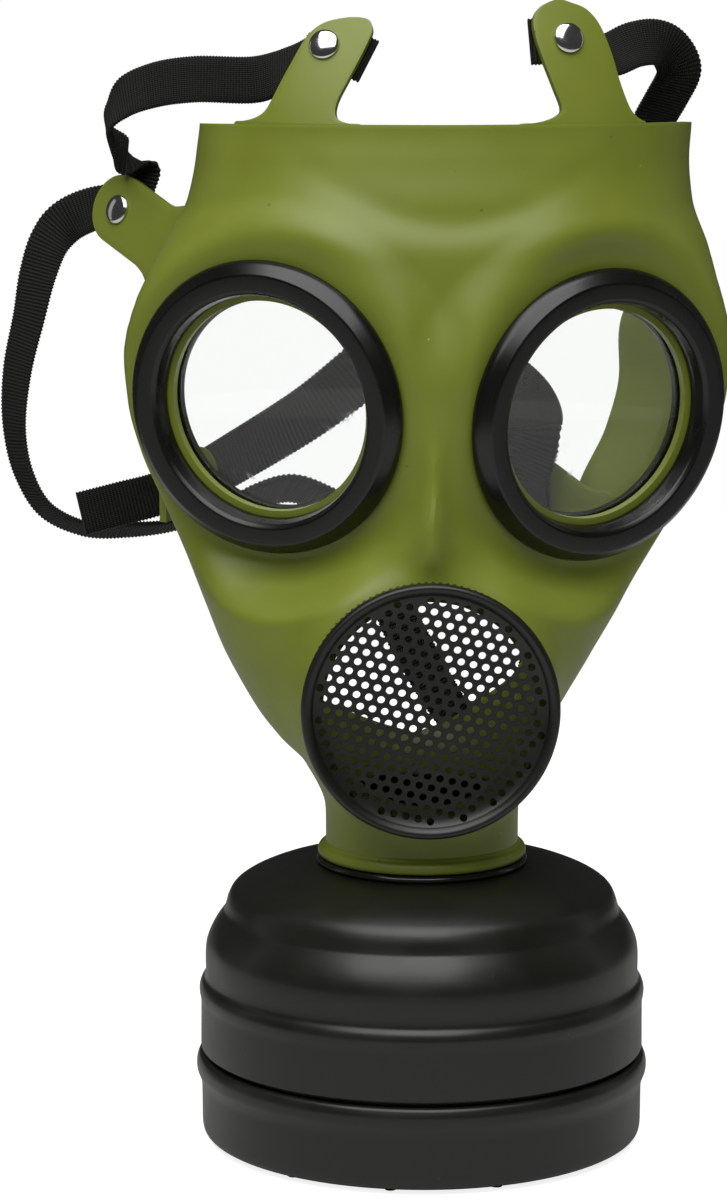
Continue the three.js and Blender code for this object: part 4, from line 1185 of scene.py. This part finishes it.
def build_face(face):
    """The moulded vinyl face with its boss, collar and six tabs."""
    wall = face.wall / MM
    material = vinyl_material(face)
    wall_shape, hollow_shape = shell_solids(wall)
    shell = soft_slab("face_shell_vinyl", wall_shape, 0.6)
    hollow = new_piece("hollow", *hollow_shape)
    mouth = on_face(*MOUTH)
    corners = [(0, -MOUTH_DEEP, 0), (MOUTH_BOSS, -MOUTH_DEEP, 0), (MOUTH_BOSS, 0, 1.2), (0, 0, 0)]
    boss_line = rounded(corners, 4)
    boss = new_piece("boss", *placed(lathe(boss_line, 96), mouth, MOUTH_AXIS))
    combine(boss, [hollow], "DIFFERENCE")
    added = [boss, new_piece("collar", *lathe(rounded(COLLAR_LINE, 4), 96))]
    for name, tab in TOP_TABS.items():
        added.append(soft_slab(name, top_tab_slab(tab, wall)))
    for name, tab in SIDE_TABS.items():
        added.append(soft_slab(name, side_tab_slab(tab, wall)))
    combine(shell, added, "UNION")
    cuts = [
        placed(rod(MOUTH_HOLE, -MOUTH_DEEP - 5, 2, 72), mouth, MOUTH_AXIS),
        placed(rod(GRILLE_RIM + GAP, 0, GRILLE_RISE + 2, 96), mouth, MOUTH_AXIS),
    ]
    for eye in EYES.values():
        centre = on_face(*eye["centre"])
        cuts.append(placed(rod(EYE_HOLE, -3 * wall, 2 * wall, 96), centre, eye_axis(eye)))
        cuts.append(placed(rod(EYE_RIM + GAP, 0.1, 8, 96), centre, eye_axis(eye)))
    for centre, axis in rivet_seats(wall).values():
        cuts.append(placed(rod(RIVET_HOLE, -2 * wall, 2 * wall, 20), centre, axis))
    combine(shell, [new_piece("cut", *cut) for cut in cuts], "DIFFERENCE")
    shell.data.materials.clear()
    shell.data.materials.append(material)
    return finish_piece(shell, ["face_shell"])


# Eye pieces

RIM_LINE = (
    # radius, height, rounding
    (30.4, 0.5, 0.2),
    (40.0, 0.5, 0.2),
    (40.3, 1.6, 0.6),
    (39.7, 3.3, 1.0),
    (37.7, 5.3, 0.4),
    (37.1, 5.9, 0.25),
    (36.6, 6.0, 0.2),
    (32.4, 5.9, 0.4),
    (31.4, 5.0, 0.4),
    (30.6, 2.5, 0.3),
)
BACK_RING_LINE = (
    # radius, height, rounding
    (28.2, -6.5, 0.5),
    (35.6, -6.5, 0.8),
    (36.4, -5.4, 0.6),
    (36.4, -4.1, 0.3),
    (28.2, -4.1, 0.3),
)


def build_eyes(eyes):
    """Both black rims, clear lenses and the rings that hold the lenses from behind."""
    gloss = plastic_material("ring_plastic", eyes.ring_colour, eyes.ring_roughness, 0.35)
    clear = lens_material()
    front = -2.2 - GAP
    back_face = front - LENS_THICK
    disc = [(0, back_face, 0), (LENS_RADIUS, back_face, 0.3), (LENS_RADIUS, front, 0.3), (0, front, 0)]
    lens_line = rounded(disc, 3)
    for side, eye in EYES.items():
        centre = on_face(*eye["centre"])
        axis = eye_axis(eye)
        turned = placed(lathe(rounded(RIM_LINE), 144), centre, axis)
        rim = new_piece(f"eye_rim_{side}_turned", *turned, gloss)
        finish_piece(rim, [f"eye_rim_{side}"], 60)
        turned = placed(lathe(rounded(BACK_RING_LINE), 120), centre, axis)
        back = new_piece(f"eye_back_ring_{side}_turned", *turned, gloss)
        finish_piece(back, [f"eye_back_ring_{side}"], 60)
        lens = new_piece(f"lens_{side}_clear", *placed(lathe(lens_line, 120), centre, axis), clear)
        finish_piece(lens, [f"lens_{side}"])


# The mouth grille

GRILLE_RING_LINE = (
    # radius, height, rounding
    (31.0, 0.3, 0.2),
    (32.6, 0.3, 0.2),
    (33.4, 1.0, 0.3),
    (33.4, 6.1, 0.2),
    (33.2, 6.5, 0.2),
    (34.2, 7.1, 0.6),
    (34.3, 8.4, 0.8),
    (33.6, 9.6, 0.9),
    (32.3, 9.5, 0.9),
    (31.2, 8.3, 0.6),
    (30.9, 7.4, 0.2),
    (31.0, 5.4, 0.2),
)
PLATE_LINE = (
    # radius, height
    (31.2, 7.0),
    (30.4, 6.5),
    (29.2, 6.0),
    (27.4, 5.6),
    (22.0, 5.2),
    (12.0, 4.9),
    (0.0, 4.8),
)


def build_grille(grille):
    """The pierced plate in its knurled ring."""
    black = plastic_material("grille_plastic", grille.colour, 0.36, 0.2)
    under = flowing_line(PLATE_LINE[::-1], 4)
    over = under[::-1] + (0, PLATE_THICK)
    plate = new_piece("plate", *lathe(np.vstack([under, over]), 96))
    tree_modifier(
        plate,
        pierced_plate_tree(),
        Pitch=grille.hole_pitch / MM,
        Hole_Radius=grille.hole_diameter / MM / 2,
        Reach=PLATE_RADIUS,
        Turn=math.radians(PLATE_TURN),
        Material=black,
    )
    ring = new_piece("mouth_grille_pierced", *lathe(rounded(GRILLE_RING_LINE, 4), 6 * grille.teeth))
    tree_modifier(
        ring,
        knurl_tree(),
        Teeth=float(grille.teeth),
        Tooth_Depth=0.55,
        Inner_Radius=32.6,
        Low=0.8,
        High=6.1,
        Material=black,
    )
    combine(ring, [plate], "UNION")
    points = np.array([v.co for v in ring.data.vertices])
    moved, _ = placed((points, None), on_face(*MOUTH), MOUTH_AXIS)
    ring.data.vertices.foreach_set("co", moved.ravel())
    ring.data.update()
    return finish_piece(ring, ["mouth_grille"], 40)


# The canister and the ring at its neck

CANISTER_LINE = (
    # radius, height, rounding
    (56.6, 10.0, 0.3),
    (58.4, 10.0, 0.3),
    (58.4, 24.5, 0.3),
    (59.9, 24.9, 0.3),
    (60.5, 25.6, 0.4),
    (60.4, 38.6, 1.2),
    (60.8, 40.2, 0.8),
    (60.9, 41.9, 0.8),
    (60.3, 43.7, 0.8),
    (59.3, 44.8, 0.8),
    (59.1, 46.6, 0.8),
    (59.2, 51.6, 3.0),
    (58.8, 55.0, 2.2),
    (56.8, 59.3, 2.4),
    (54.0, 63.1, 0.5),
    (53.6, 64.3, 0.5),
    (53.0, 66.6, 1.0),
    (51.8, 69.2, 2.0),
    (48.6, 71.4, 2.0),
    (43.5, 73.6, 2.5),
    (36.6, 75.4, 3.0),
    (29.0, 76.4, 2.0),
    (23.6, 76.4, 0.3),
    (23.6, 96.0, 0.5),
    (21.6, 96.0, 0.5),
    (21.6, 74.4, 0.5),
    (35.8, 72.8, 2.0),
    (47.0, 67.0, 2.0),
    (51.6, 61.6, 2.0),
    (56.6, 52.0, 2.0),
)
CAP_LINE = (
    # radius, height, rounding
    (0.0, 0.8, 0),
    (57.6, 0.8, 1.2),
    (59.8, 1.9, 1.2),
    (60.2, 4.0, 1.0),
    (60.3, 15.4, 1.2),
    (61.0, 17.6, 0.9),
    (61.7, 19.2, 0.9),
    (61.7, 21.6, 0.9),
    (60.9, 23.6, 0.7),
    (59.4, 24.0, 0.3),
    (58.8, 23.4, 0.2),
    (58.8, 2.8, 0.4),
    (0.0, 2.8, 0),
)
NECK_RING_LINE = (
    # radius, height, rounding
    (24.2, 76.7, 0.2),
    (28.6, 76.7, 0.4),
    (28.8, 77.5, 0.4),
    (28.2, 78.3, 0.4),
    (24.2, 78.3, 0.2),
)


def build_canister(canister):
    """The domed canister, its cap with small feet, and the glossy ring under the neck."""
    black = plastic_material("canister_plastic", canister.colour, canister.roughness, 0.5, 0.5, 0.03)
    gloss = plastic_material("neck_ring_plastic", canister.colour, 0.16, 0.1)
    body = new_piece("canister_body_turned", *lathe(rounded(CANISTER_LINE), 200), black)
    finish_piece(body, ["canister_body"], 50)
    cap = new_piece("canister_cap_turned", *lathe(rounded(CAP_LINE), 200), black)
    pad = new_piece("pad", *lathe(rounded([(0, 0, 0), (16, 0, 0.3), (16, 1.2, 0), (0, 1.2, 0)]), 60))
    combine(cap, [pad], "UNION")
    tree_modifier(
        cap,
        ring_of_feet_tree(),
        Feet=canister.feet,
        Circle_Radius=54.5,
        Foot_Radius=1.5,
        Turn=math.radians(FEET_TURN),
        Material=black,
    )
    finish_piece(cap, ["canister_cap"], 50)
    ring = new_piece("neck_ring_turned", *lathe(rounded(NECK_RING_LINE), 120), gloss)
    finish_piece(ring, ["neck_ring"], 60)


# Webbing straps. A tab run lists offsets across and up its tab in millimetres, and its layer counts the
# straps between it and the tab. A free run lists the middle line in shares of HALF_WIDTH, DEPTH and
# FACE_HEIGHT, and the way the strap's width points there.
STRAPS = {
    "strap_top_left": (
        {"tab": "top_left", "layer": 0, "width": "lean", "runs": ((12, -3), (6, -0.8), (0, 0))},
        (
            (-0.352, 0.092, 1.087, 0.43, 0.07, 0.9),
            (-0.435, 0.175, 1.069, 0.3, 0.1, 0.95),
            (-0.530, 0.300, 1.053, 0, 0.1, 1),
            (-0.734, 0.480, 1.050, 0, 0.1, 1),
            (-0.871, 0.620, 1.039, -0.1, 0.3, 1),
            (-0.970, 0.710, 1.020, -0.3, 0.7, 0.7),
            (-1.020, 0.780, 0.989, -0.1, 1, 0.1),
            (-1.010, 0.850, 0.958, 0.1, 1, 0),
            (-0.967, 0.920, 0.933, 0.5, 0.85, 0.1),
        ),
        {"tab": "temple_left", "layer": 1, "width": "back", "runs": ((2, 13), (1.5, 7), (0, 0), (0, -8))},
    ),
    "strap_top_right": (
        {"tab": "top_right", "layer": 0, "width": "up", "runs": ((-10.4, 0), (-5, 0), (0, 0), (6, 0))},
        (
            (0.617, 0.240, 1.086, 0, 0.7, 0.7),
            (0.714, 0.360, 1.098, 0, 0.5, 0.85),
            (0.792, 0.450, 1.100, 0.15, 0.3, 1),
            (0.851, 0.530, 1.088, 0.7, 0.2, 0.7),
            (0.891, 0.610, 1.056, 0.95, 0.2, -0.1),
            (0.857, 0.690, 1.017, 0.9, 0.3, -0.35),
            (0.824, 0.760, 0.984, 0.85, 0.4, -0.35),
            (0.822, 0.860, 0.942, 0.7, 0.7, 0),
        ),
        {"tab": "temple_right", "layer": 0, "width": "across", "runs": ((0, 10), (0, 0), (0, -9))},
    ),
    "strap_loop": (
        {"tab": "temple_left", "layer": 0, "width": "up", "runs": ((9, 0), (0, 0), (-9, 1))},
        (
            (-1.163, 1.093, 0.839, -0.35, 0.1, 0.93),
            (-1.229, 1.093, 0.809, -0.7, 0.4, 0.55),
            (-1.272, 1.080, 0.762, -0.75, 0.55, 0.25),
            (-1.304, 1.067, 0.702, -0.7, 0.7, 0.05),
            (-1.348, 1.067, 0.621, -0.62, 0.78, 0),
            (-1.360, 1.067, 0.540, -0.5, 0.87, -0.05),
            (-1.329, 1.067, 0.473, -0.4, 0.9, -0.2),
            (-1.255, 1.093, 0.419, -0.2, 0.9, -0.4),
            (-1.124, 1.133, 0.389, 0, 0.9, -0.42),
            (-0.970, 1.173, 0.384, 0, 0.9, -0.42),
            (-0.802, 1.200, 0.390, 0, 0.93, -0.35),
            (-0.664, 1.220, 0.414, 0, 0.9, -0.42),
            (-0.500, 1.280, 0.455, 0, 0.85, -0.5),
            (-0.397, 1.320, 0.464, 0, 0.85, -0.5),
            (-0.297, 1.340, 0.446, -0.25, 0.85, -0.45),
            (-0.212, 1.340, 0.416, -0.5, 0.75, -0.4),
            (-0.148, 1.340, 0.371, -0.65, 0.65, -0.35),
            (-0.060, 1.320, 0.297, -0.8, 0.45, -0.4),
            (-0.007, 1.300, 0.236, -0.85, 0.25, -0.4),
            (0.063, 1.280, 0.180, -0.82, 0.2, -0.55),
            (0.133, 1.250, 0.130, -0.7, 0.3, -0.65),
            (0.205, 1.220, 0.090, -0.45, 0.4, -0.8),
            (0.295, 1.190, 0.072, -0.05, 0.5, -0.85),
            (0.388, 1.150, 0.090, 0.45, 0.45, -0.75),
            (0.455, 1.090, 0.150, 0.85, 0.2, -0.5),
            (0.485, 1.020, 0.230, 0.95, -0.1, -0.25),
        ),
        {
            "tab": "cheek_right",
            "layer": 0,
            "width": "back",
            "shift": -3.8,
            "runs": ((0, -22), (0, -13), (0, -6), (0, 0), (0, 8)),
        },
    ),
    "strap_cheek": (
        (
            (-1.129, 0.947, 0.421, 0, 0.1, 1),
            (-0.995, 0.987, 0.433, 0, 0.05, 1),
            (-0.868, 0.999, 0.446, 0, 0, 1),
        ),
        {"tab": "cheek_left", "layer": 0, "width": "up", "runs": ((-3.5, -0.5), (0, 0), (5, 1), (9, 2))},
        (
            (-0.359, 1.400, 0.548, 0, 0, 1),
            (-0.214, 1.480, 0.596, 0, 0, 1),
            (-0.068, 1.547, 0.642, 0, 0, 1),
            (0.095, 1.573, 0.670, 0, 0, 1),
            (0.253, 1.520, 0.654, 0, 0, 1),
            (0.379, 1.387, 0.621, 0.1, 0, 1),
            (0.436, 1.173, 0.594, 0.5, -0.2, 0.85),
            (0.474, 0.960, 0.574, 0.85, -0.45, 0.4),
        ),
        {
            "tab": "cheek_right",
            "layer": 1,
            "width": "back",
            "shift": -3.8,
            "runs": ((-4, 13), (-2.5, 7), (0, 0), (0, -8), (0, -14)),
        },
    ),
}
STRAP_HOLES = {
    "strap_top_left": ("top_left", "temple_left"),
    "strap_top_right": ("top_right", "temple_right"),
    "strap_loop": ("temple_left", "cheek_right"),
    "strap_cheek": ("cheek_left", "cheek_right"),
}
STRAP_CLEAR = 0.6


def strap_stations(parts, wall, thick):
    """Middle points of a strap and the way its width points at each."""
    seats = rivet_seats(wall)
    middles = []
    widths = []
    for part in parts:
        if not isinstance(part, dict):
            for across, back, up, *width in part:
                middles.append(on_face(across, back, up))
                widths.append(np.array(width, float))
            continue
        centre, axis = seats[part["tab"]]
        up = np.array([0, 0, 1.0]) - axis * axis[2]
        up /= np.linalg.norm(up)
        across = np.cross(up, axis)
        across /= np.linalg.norm(across)
        lean = 0.89 * up + 0.46 * across
        width = {"up": up, "across": across, "back": -across, "lean": lean}[part["width"]]
        depth = wall / 2 + STRAP_CLEAR + thick / 2 + part["layer"] * (thick + GAP)
        tab = TOP_TABS.get(part["tab"])
        for sideways, rise in part["runs"]:
            if tab:
                x = np.array(tab["rivet"][0] * HALF_WIDTH + sideways * 0.9)
                high = np.array(tab["rivet"][1] * tab["reach"] + rise)
                middle = top_tab_point(tab, x, high) - top_tab_normal(tab, x, high) * (wall / 2 + depth)
            else:
                middle = centre + across * (sideways + part.get("shift", 0)) + up * rise - axis * depth
            middles.append(middle)
            widths.append(width)
    return np.array(middles), np.array(widths)


def strap_section(width, thick):
    """The rounded section of a strap, as offsets along its width and its normal."""
    half = width / 2
    edge = thick * 0.4
    flat = np.linspace(-half + edge, half - edge, 7)
    upper = [(w, thick / 2) for w in flat]
    turn = [(half - edge + edge * math.cos(a), thick / 2 * math.sin(a)) for a in (0.9, 0.0, -0.9)]
    lower = [(-w, -thick / 2) for w in flat]
    back = [(-w, -n) for w, n in turn]
    return np.array(upper + turn + lower + back)


def strap_shape(parts, straps, wall):
    """Points, faces and lengths along a strap, finely divided for its ribs."""
    width = straps.width / MM
    thick = straps.thick / MM
    middles, widths = strap_stations(parts, wall, thick)
    widths /= np.linalg.norm(widths, axis=1, keepdims=True)
    both = flowing_line(np.hstack([middles, widths * 8.0]), 40)
    lengths = np.concatenate([[0], np.cumsum(np.linalg.norm(np.diff(both[:, :3], axis=0), axis=1))])
    step = straps.rib_pitch / MM / 5
    along = np.linspace(0, lengths[-1], int(lengths[-1] / step) + 1)
    both = np.stack([np.interp(along, lengths, both[:, k]) for k in range(6)], axis=-1)
    middle = both[:, :3]
    tangent = np.gradient(middle, axis=0)
    tangent /= np.linalg.norm(tangent, axis=1, keepdims=True)
    side = both[:, 3:] - tangent * (both[:, 3:] * tangent).sum(1, keepdims=True)
    side /= np.linalg.norm(side, axis=1, keepdims=True)
    normal = np.cross(tangent, side)
    outline = strap_section(width, thick)
    points = middle[:, None] + side[:, None] * outline[None, :, :1] + normal[:, None] * outline[None, :, 1:]
    rows, columns = points.shape[:2]
    index = np.arange(rows * columns).reshape(rows, columns)
    faces = [tuple(f[::-1]) for f in grid_faces(index, wrap=True)]
    faces.append(tuple(index[0]))
    faces.append(tuple(index[-1][::-1]))
    across = np.broadcast_to(outline[:, 0], (rows, columns))
    lengthwise = np.broadcast_to(along[:, None], (rows, columns))
    return points.reshape(-1, 3), faces, lengthwise.ravel(), across.ravel()


def add_strap_map(mesh, along, across):
    """Stores the way along a strap as an attribute, and both ways as a UV map in centimetres."""
    mesh.attributes.new("along", "FLOAT", "POINT").data.foreach_set("value", along.astype(np.float32))
    corners = np.zeros(len(mesh.loops), int)
    mesh.loops.foreach_get("vertex_index", corners)
    layer = mesh.uv_layers.new(name="strap")
    layer.data.foreach_set("uv", np.stack([along[corners], across[corners]], axis=-1).ravel() / 10)


def build_straps(straps, face):
    """The four black webbing straps."""
    material = webbing_material(straps)
    ribs = ribs_tree()
    wall = face.wall / MM
    seats = rivet_seats(wall)
    for name, parts in STRAPS.items():
        points, faces, along, across = strap_shape(parts, straps, wall)
        strap = new_piece(f"{name}_woven", points, faces)
        add_strap_map(strap.data, along, across)
        pitch = straps.rib_pitch / MM
        tree_modifier(strap, ribs, Rib_Pitch=pitch, Rib_Height=straps.rib_height / MM, Material=material)
        holes = [placed(rod(RIVET_HOLE, -9, 9, 16), *seats[seat]) for seat in STRAP_HOLES[name]]
        combine(strap, [new_piece("hole", *hole) for hole in holes], "DIFFERENCE")
        finish_piece(strap, [name], 60)


# Rivets

RIVET_LAYERS = {
    "top_left": 1,
    "top_right": 1,
    "temple_left": 2,
    "temple_right": 1,
    "cheek_left": 1,
    "cheek_right": 2,
}


def rivet_line(layers, wall, thick):
    """Profile of a rivet: flat cap behind, shank, and a domed cap in front."""
    top = wall / 2 + 0.05
    low = -(wall / 2 + STRAP_CLEAR + layers * (thick + GAP))
    dome = [
        (RIVET_CAP * math.cos(a), top + 0.35 + (RIVET_RISE - 0.35) * math.sin(a))
        for a in np.linspace(0.12, math.pi / 2, 12)
    ]
    start = [
        (0, low - 1.0),
        (RIVET_BACK - 0.5, low - 1.0),
        (RIVET_BACK, low - 0.6),
        (RIVET_BACK, low - 0.1),
        (RIVET_BACK - 0.2, low),
        (RIVET_SHANK, low),
        (RIVET_SHANK, top),
        (RIVET_CAP - 0.15, top),
        (RIVET_CAP, top + 0.15),
    ]
    line = start + dome
    line[-1] = (0, top + RIVET_RISE)
    return line


def build_rivets(face, straps):
    """The six polished rivets."""
    metal = chrome_material()
    wall = face.wall / MM
    for name, (centre, axis) in rivet_seats(wall).items():
        line = rivet_line(RIVET_LAYERS[name], wall, straps.thick / MM)
        rivet = new_piece(f"rivet_{name}_domed", *placed(lathe(line, 48), centre, axis), metal)
        finish_piece(rivet, [f"rivet_{name}"], 50)


# Stage


def aim(thing, place, target):
    """Puts a light at a place in metres, looking at a target."""
    thing.location = place
    thing.rotation_euler = (Vector(target) - Vector(place)).to_track_quat("-Z", "Y").to_euler()


def add_softbox(name, place, size, power):
    """A large soft light that looks at the middle of the mask."""
    light = bpy.data.lights.new(name, "AREA")
    light.shape = "RECTANGLE"
    light.size, light.size_y = size
    light.energy = power
    lamp = bpy.data.objects.new(name, light)
    bpy.context.scene.collection.objects.link(lamp)
    aim(lamp, place, (0, 0, 0.15))


def build_surroundings(stage):
    """A white backdrop for what is seen directly or through clear plastic, and a dim room for the rest."""
    world = bpy.data.worlds.new("studio")
    world.use_nodes = True
    tree = world.node_tree
    sky = tree.nodes["Background"]
    sky.inputs["Color"].default_value = (1.0, 1.0, 1.0, 1.0)
    strength = remap(tree, directly_seen(tree), 0.0, 1.0, stage.surroundings, 1.0)
    tree.links.new(strength, sky.inputs["Strength"])
    bpy.context.scene.world = world


def build_stage(stage):
    """Floor, soft lights, surroundings and the camera."""
    bpy.context.scene.view_settings.view_transform = "Standard"
    floor_place = (0, 0, solid_low[2] - 0.0002)
    bpy.ops.mesh.primitive_circle_add(
        vertices=128, radius=FLOOR_RADIUS, fill_type="NGON", location=floor_place
    )
    floor = bpy.context.object
    floor.name = "floor"
    floor.data.materials.append(floor_material(stage))
    build_surroundings(stage)
    add_softbox("softbox_key", (-0.15, -0.6, 1.4), (1.5, 1.5), stage.key_power)
    add_softbox("softbox_left", (-1.2, 0.35, 0.4), (0.3, 1.0), stage.side_power)
    add_softbox("softbox_right", (1.2, 0.35, 0.4), (0.3, 1.0), stage.side_power)
    eye = bpy.data.cameras.new("photo_camera")
    eye.sensor_fit = "VERTICAL"
    eye.sensor_height = CAMERA_SENSOR
    eye.lens = CAMERA_LENS
    eye.clip_start = 0.05
    eye.clip_end = 40
    camera = bpy.data.objects.new("photo_camera", eye)
    camera.location = Vector(CAMERA_PLACE) * MM
    camera.rotation_euler = (math.radians(90 - CAMERA_DOWN), 0, math.radians(CAMERA_YAW))
    bpy.context.scene.collection.objects.link(camera)
    bpy.context.scene.camera = camera


# Settings, operators and panel


def colour_property(name, description, default):
    """A colour with the usual range."""
    return FloatVectorProperty(
        name=name, description=description, subtype="COLOR", size=3, min=0.0, max=1.0, default=default
    )


def length_property(name, description, default, least=0.0, most=1000.0):
    """A length, given in millimetres."""
    return FloatProperty(
        name=name,
        description=description,
        subtype="DISTANCE",
        default=default * MM,
        min=least * MM,
        max=most * MM,
    )


def level_property(name, description, default, least=0.0, most=1.0):
    """A plain number in a range."""
    return FloatProperty(name=name, description=description, default=default, min=least, max=most)


class MaskFaceSettings(bpy.types.PropertyGroup):
    """The moulded vinyl."""

    wall: length_property("Wall", "Thickness of the vinyl", 2.2, 1.2, 4.0)
    colour: colour_property("Colour", "Colour of the vinyl", (0.215, 0.258, 0.028))
    roughness: level_property("Roughness", "Roughness of the vinyl", 0.42, 0.1, 0.9)
    sheen: level_property("Sheen", "Pale sheen at glancing angles", 0.03)


class MaskEyeSettings(bpy.types.PropertyGroup):
    """The eye pieces."""

    ring_colour: colour_property("Ring colour", "Colour of the black rings", (0.0050, 0.0052, 0.0040))
    ring_roughness: level_property("Ring roughness", "Roughness of the rims", 0.27, 0.05, 0.9)


class MaskGrilleSettings(bpy.types.PropertyGroup):
    """The mouth grille."""

    colour: colour_property("Colour", "Colour of the grille", (0.0090, 0.0092, 0.0070))
    hole_pitch: length_property("Hole pitch", "Distance between holes", 3.33, 2.5)
    hole_diameter: length_property("Hole diameter", "Width of each hole", 2.05, 1.0)
    teeth: IntProperty(name="Teeth", description="Teeth round the ring", default=110, min=40, max=200)


class MaskCanisterSettings(bpy.types.PropertyGroup):
    """The canister."""

    colour: colour_property("Colour", "Colour of the canister", (0.0110, 0.0114, 0.0083))
    roughness: level_property("Roughness", "Roughness of the canister", 0.34, 0.1, 0.9)
    feet: IntProperty(name="Feet", description="Small feet under the cap", default=12, min=3, max=48)


class MaskStrapSettings(bpy.types.PropertyGroup):
    """The webbing straps."""

    width: length_property("Width", "Width of the webbing", 12.5)
    thick: length_property("Thickness", "Thickness of the webbing", 1.4)
    rib_pitch: length_property("Rib pitch", "Distance between ribs", 1.0)
    rib_height: length_property("Rib height", "Rise of a rib", 0.16)
    colour: colour_property("Colour", "Colour of the webbing", (0.0080, 0.0082, 0.0066))


class MaskStageSettings(bpy.types.PropertyGroup):
    """Floor and light."""

    floor_colour: colour_property("Floor", "Colour of the floor", (0.72, 0.72, 0.71))
    floor_lift: level_property("Floor lift", "Extra brightness of the floor as seen", 0.85)
    key_power: level_property("Key light", "Power of the key softbox in watts", 25.0, 0.0, 500.0)
    side_power: level_property("Side light", "Power of each side softbox in watts", 0.3, 0.0, 500.0)
    surroundings: level_property("Surroundings", "Brightness of the room", 0.04)


class MaskOperator:
    """What every operator here shares."""

    bl_options = {"REGISTER", "UNDO"}


class MASK_OT_face(MaskOperator, bpy.types.Operator):
    """Build the moulded vinyl face"""

    bl_idname = "mask.build_face"
    bl_label = "Face"

    def execute(self, context):
        build_face(context.scene.mask_face)
        return {"FINISHED"}


class MASK_OT_eyes(MaskOperator, bpy.types.Operator):
    """Build the rims, lenses and back rings of both eyes"""

    bl_idname = "mask.build_eyes"
    bl_label = "Eye pieces"

    def execute(self, context):
        build_eyes(context.scene.mask_eyes)
        return {"FINISHED"}


class MASK_OT_grille(MaskOperator, bpy.types.Operator):
    """Build the pierced mouth grille"""

    bl_idname = "mask.build_grille"
    bl_label = "Mouth grille"

    def execute(self, context):
        build_grille(context.scene.mask_grille)
        return {"FINISHED"}


class MASK_OT_canister(MaskOperator, bpy.types.Operator):
    """Build the canister, its cap and the neck ring"""

    bl_idname = "mask.build_canister"
    bl_label = "Canister"

    def execute(self, context):
        build_canister(context.scene.mask_canister)
        return {"FINISHED"}


class MASK_OT_straps(MaskOperator, bpy.types.Operator):
    """Build the webbing straps"""

    bl_idname = "mask.build_straps"
    bl_label = "Straps"

    def execute(self, context):
        build_straps(context.scene.mask_straps, context.scene.mask_face)
        return {"FINISHED"}


class MASK_OT_rivets(MaskOperator, bpy.types.Operator):
    """Build the polished rivets"""

    bl_idname = "mask.build_rivets"
    bl_label = "Rivets"

    def execute(self, context):
        build_rivets(context.scene.mask_face, context.scene.mask_straps)
        return {"FINISHED"}


class MASK_OT_stage(MaskOperator, bpy.types.Operator):
    """Build the floor, lights and camera"""

    bl_idname = "mask.build_stage"
    bl_label = "Stage"

    def execute(self, context):
        build_stage(context.scene.mask_stage)
        return {"FINISHED"}


class MASK_PT_panel(bpy.types.Panel):
    """Lists the mask's pieces and their settings"""

    bl_label = "Costume mask"
    bl_idname = "MASK_PT_panel"
    bl_space_type = "VIEW_3D"
    bl_region_type = "UI"
    bl_category = "Mask"

    def draw(self, context):
        for attribute, operators in PANEL_ROWS:
            box = self.layout.box()
            settings = getattr(context.scene, attribute)
            for name in settings.__annotations__:
                box.prop(settings, name)
            for operator in operators:
                box.operator(operator.bl_idname)


SETTINGS = {
    "mask_face": MaskFaceSettings,
    "mask_eyes": MaskEyeSettings,
    "mask_grille": MaskGrilleSettings,
    "mask_canister": MaskCanisterSettings,
    "mask_straps": MaskStrapSettings,
    "mask_stage": MaskStageSettings,
}
PANEL_ROWS = (
    ("mask_face", (MASK_OT_face,)),
    ("mask_eyes", (MASK_OT_eyes,)),
    ("mask_grille", (MASK_OT_grille,)),
    ("mask_canister", (MASK_OT_canister,)),
    ("mask_straps", (MASK_OT_straps, MASK_OT_rivets)),
    ("mask_stage", (MASK_OT_stage,)),
)
OPERATORS = tuple(operator for _, operators in PANEL_ROWS for operator in operators)


def register():
    """Registers the settings, operators and panel."""
    for attribute, settings in SETTINGS.items():
        bpy.utils.register_class(settings)
        setattr(bpy.types.Scene, attribute, PointerProperty(type=settings))
    for cls in (*OPERATORS, MASK_PT_panel):
        bpy.utils.register_class(cls)


def unregister():
    """Takes back what register did."""
    for cls in (MASK_PT_panel, *reversed(OPERATORS)):
        bpy.utils.unregister_class(cls)
    for attribute, settings in reversed(SETTINGS.items()):
        delattr(bpy.types.Scene, attribute)
        bpy.utils.unregister_class(settings)


def main():
    """Builds every piece."""
    register()
    bpy.ops.mask.build_stage()
    bpy.ops.mask.build_face()
    bpy.ops.mask.build_eyes()
    bpy.ops.mask.build_grille()
    bpy.ops.mask.build_canister()
    bpy.ops.mask.build_straps()
    bpy.ops.mask.build_rivets()


if __name__ == "__main__":
    main()
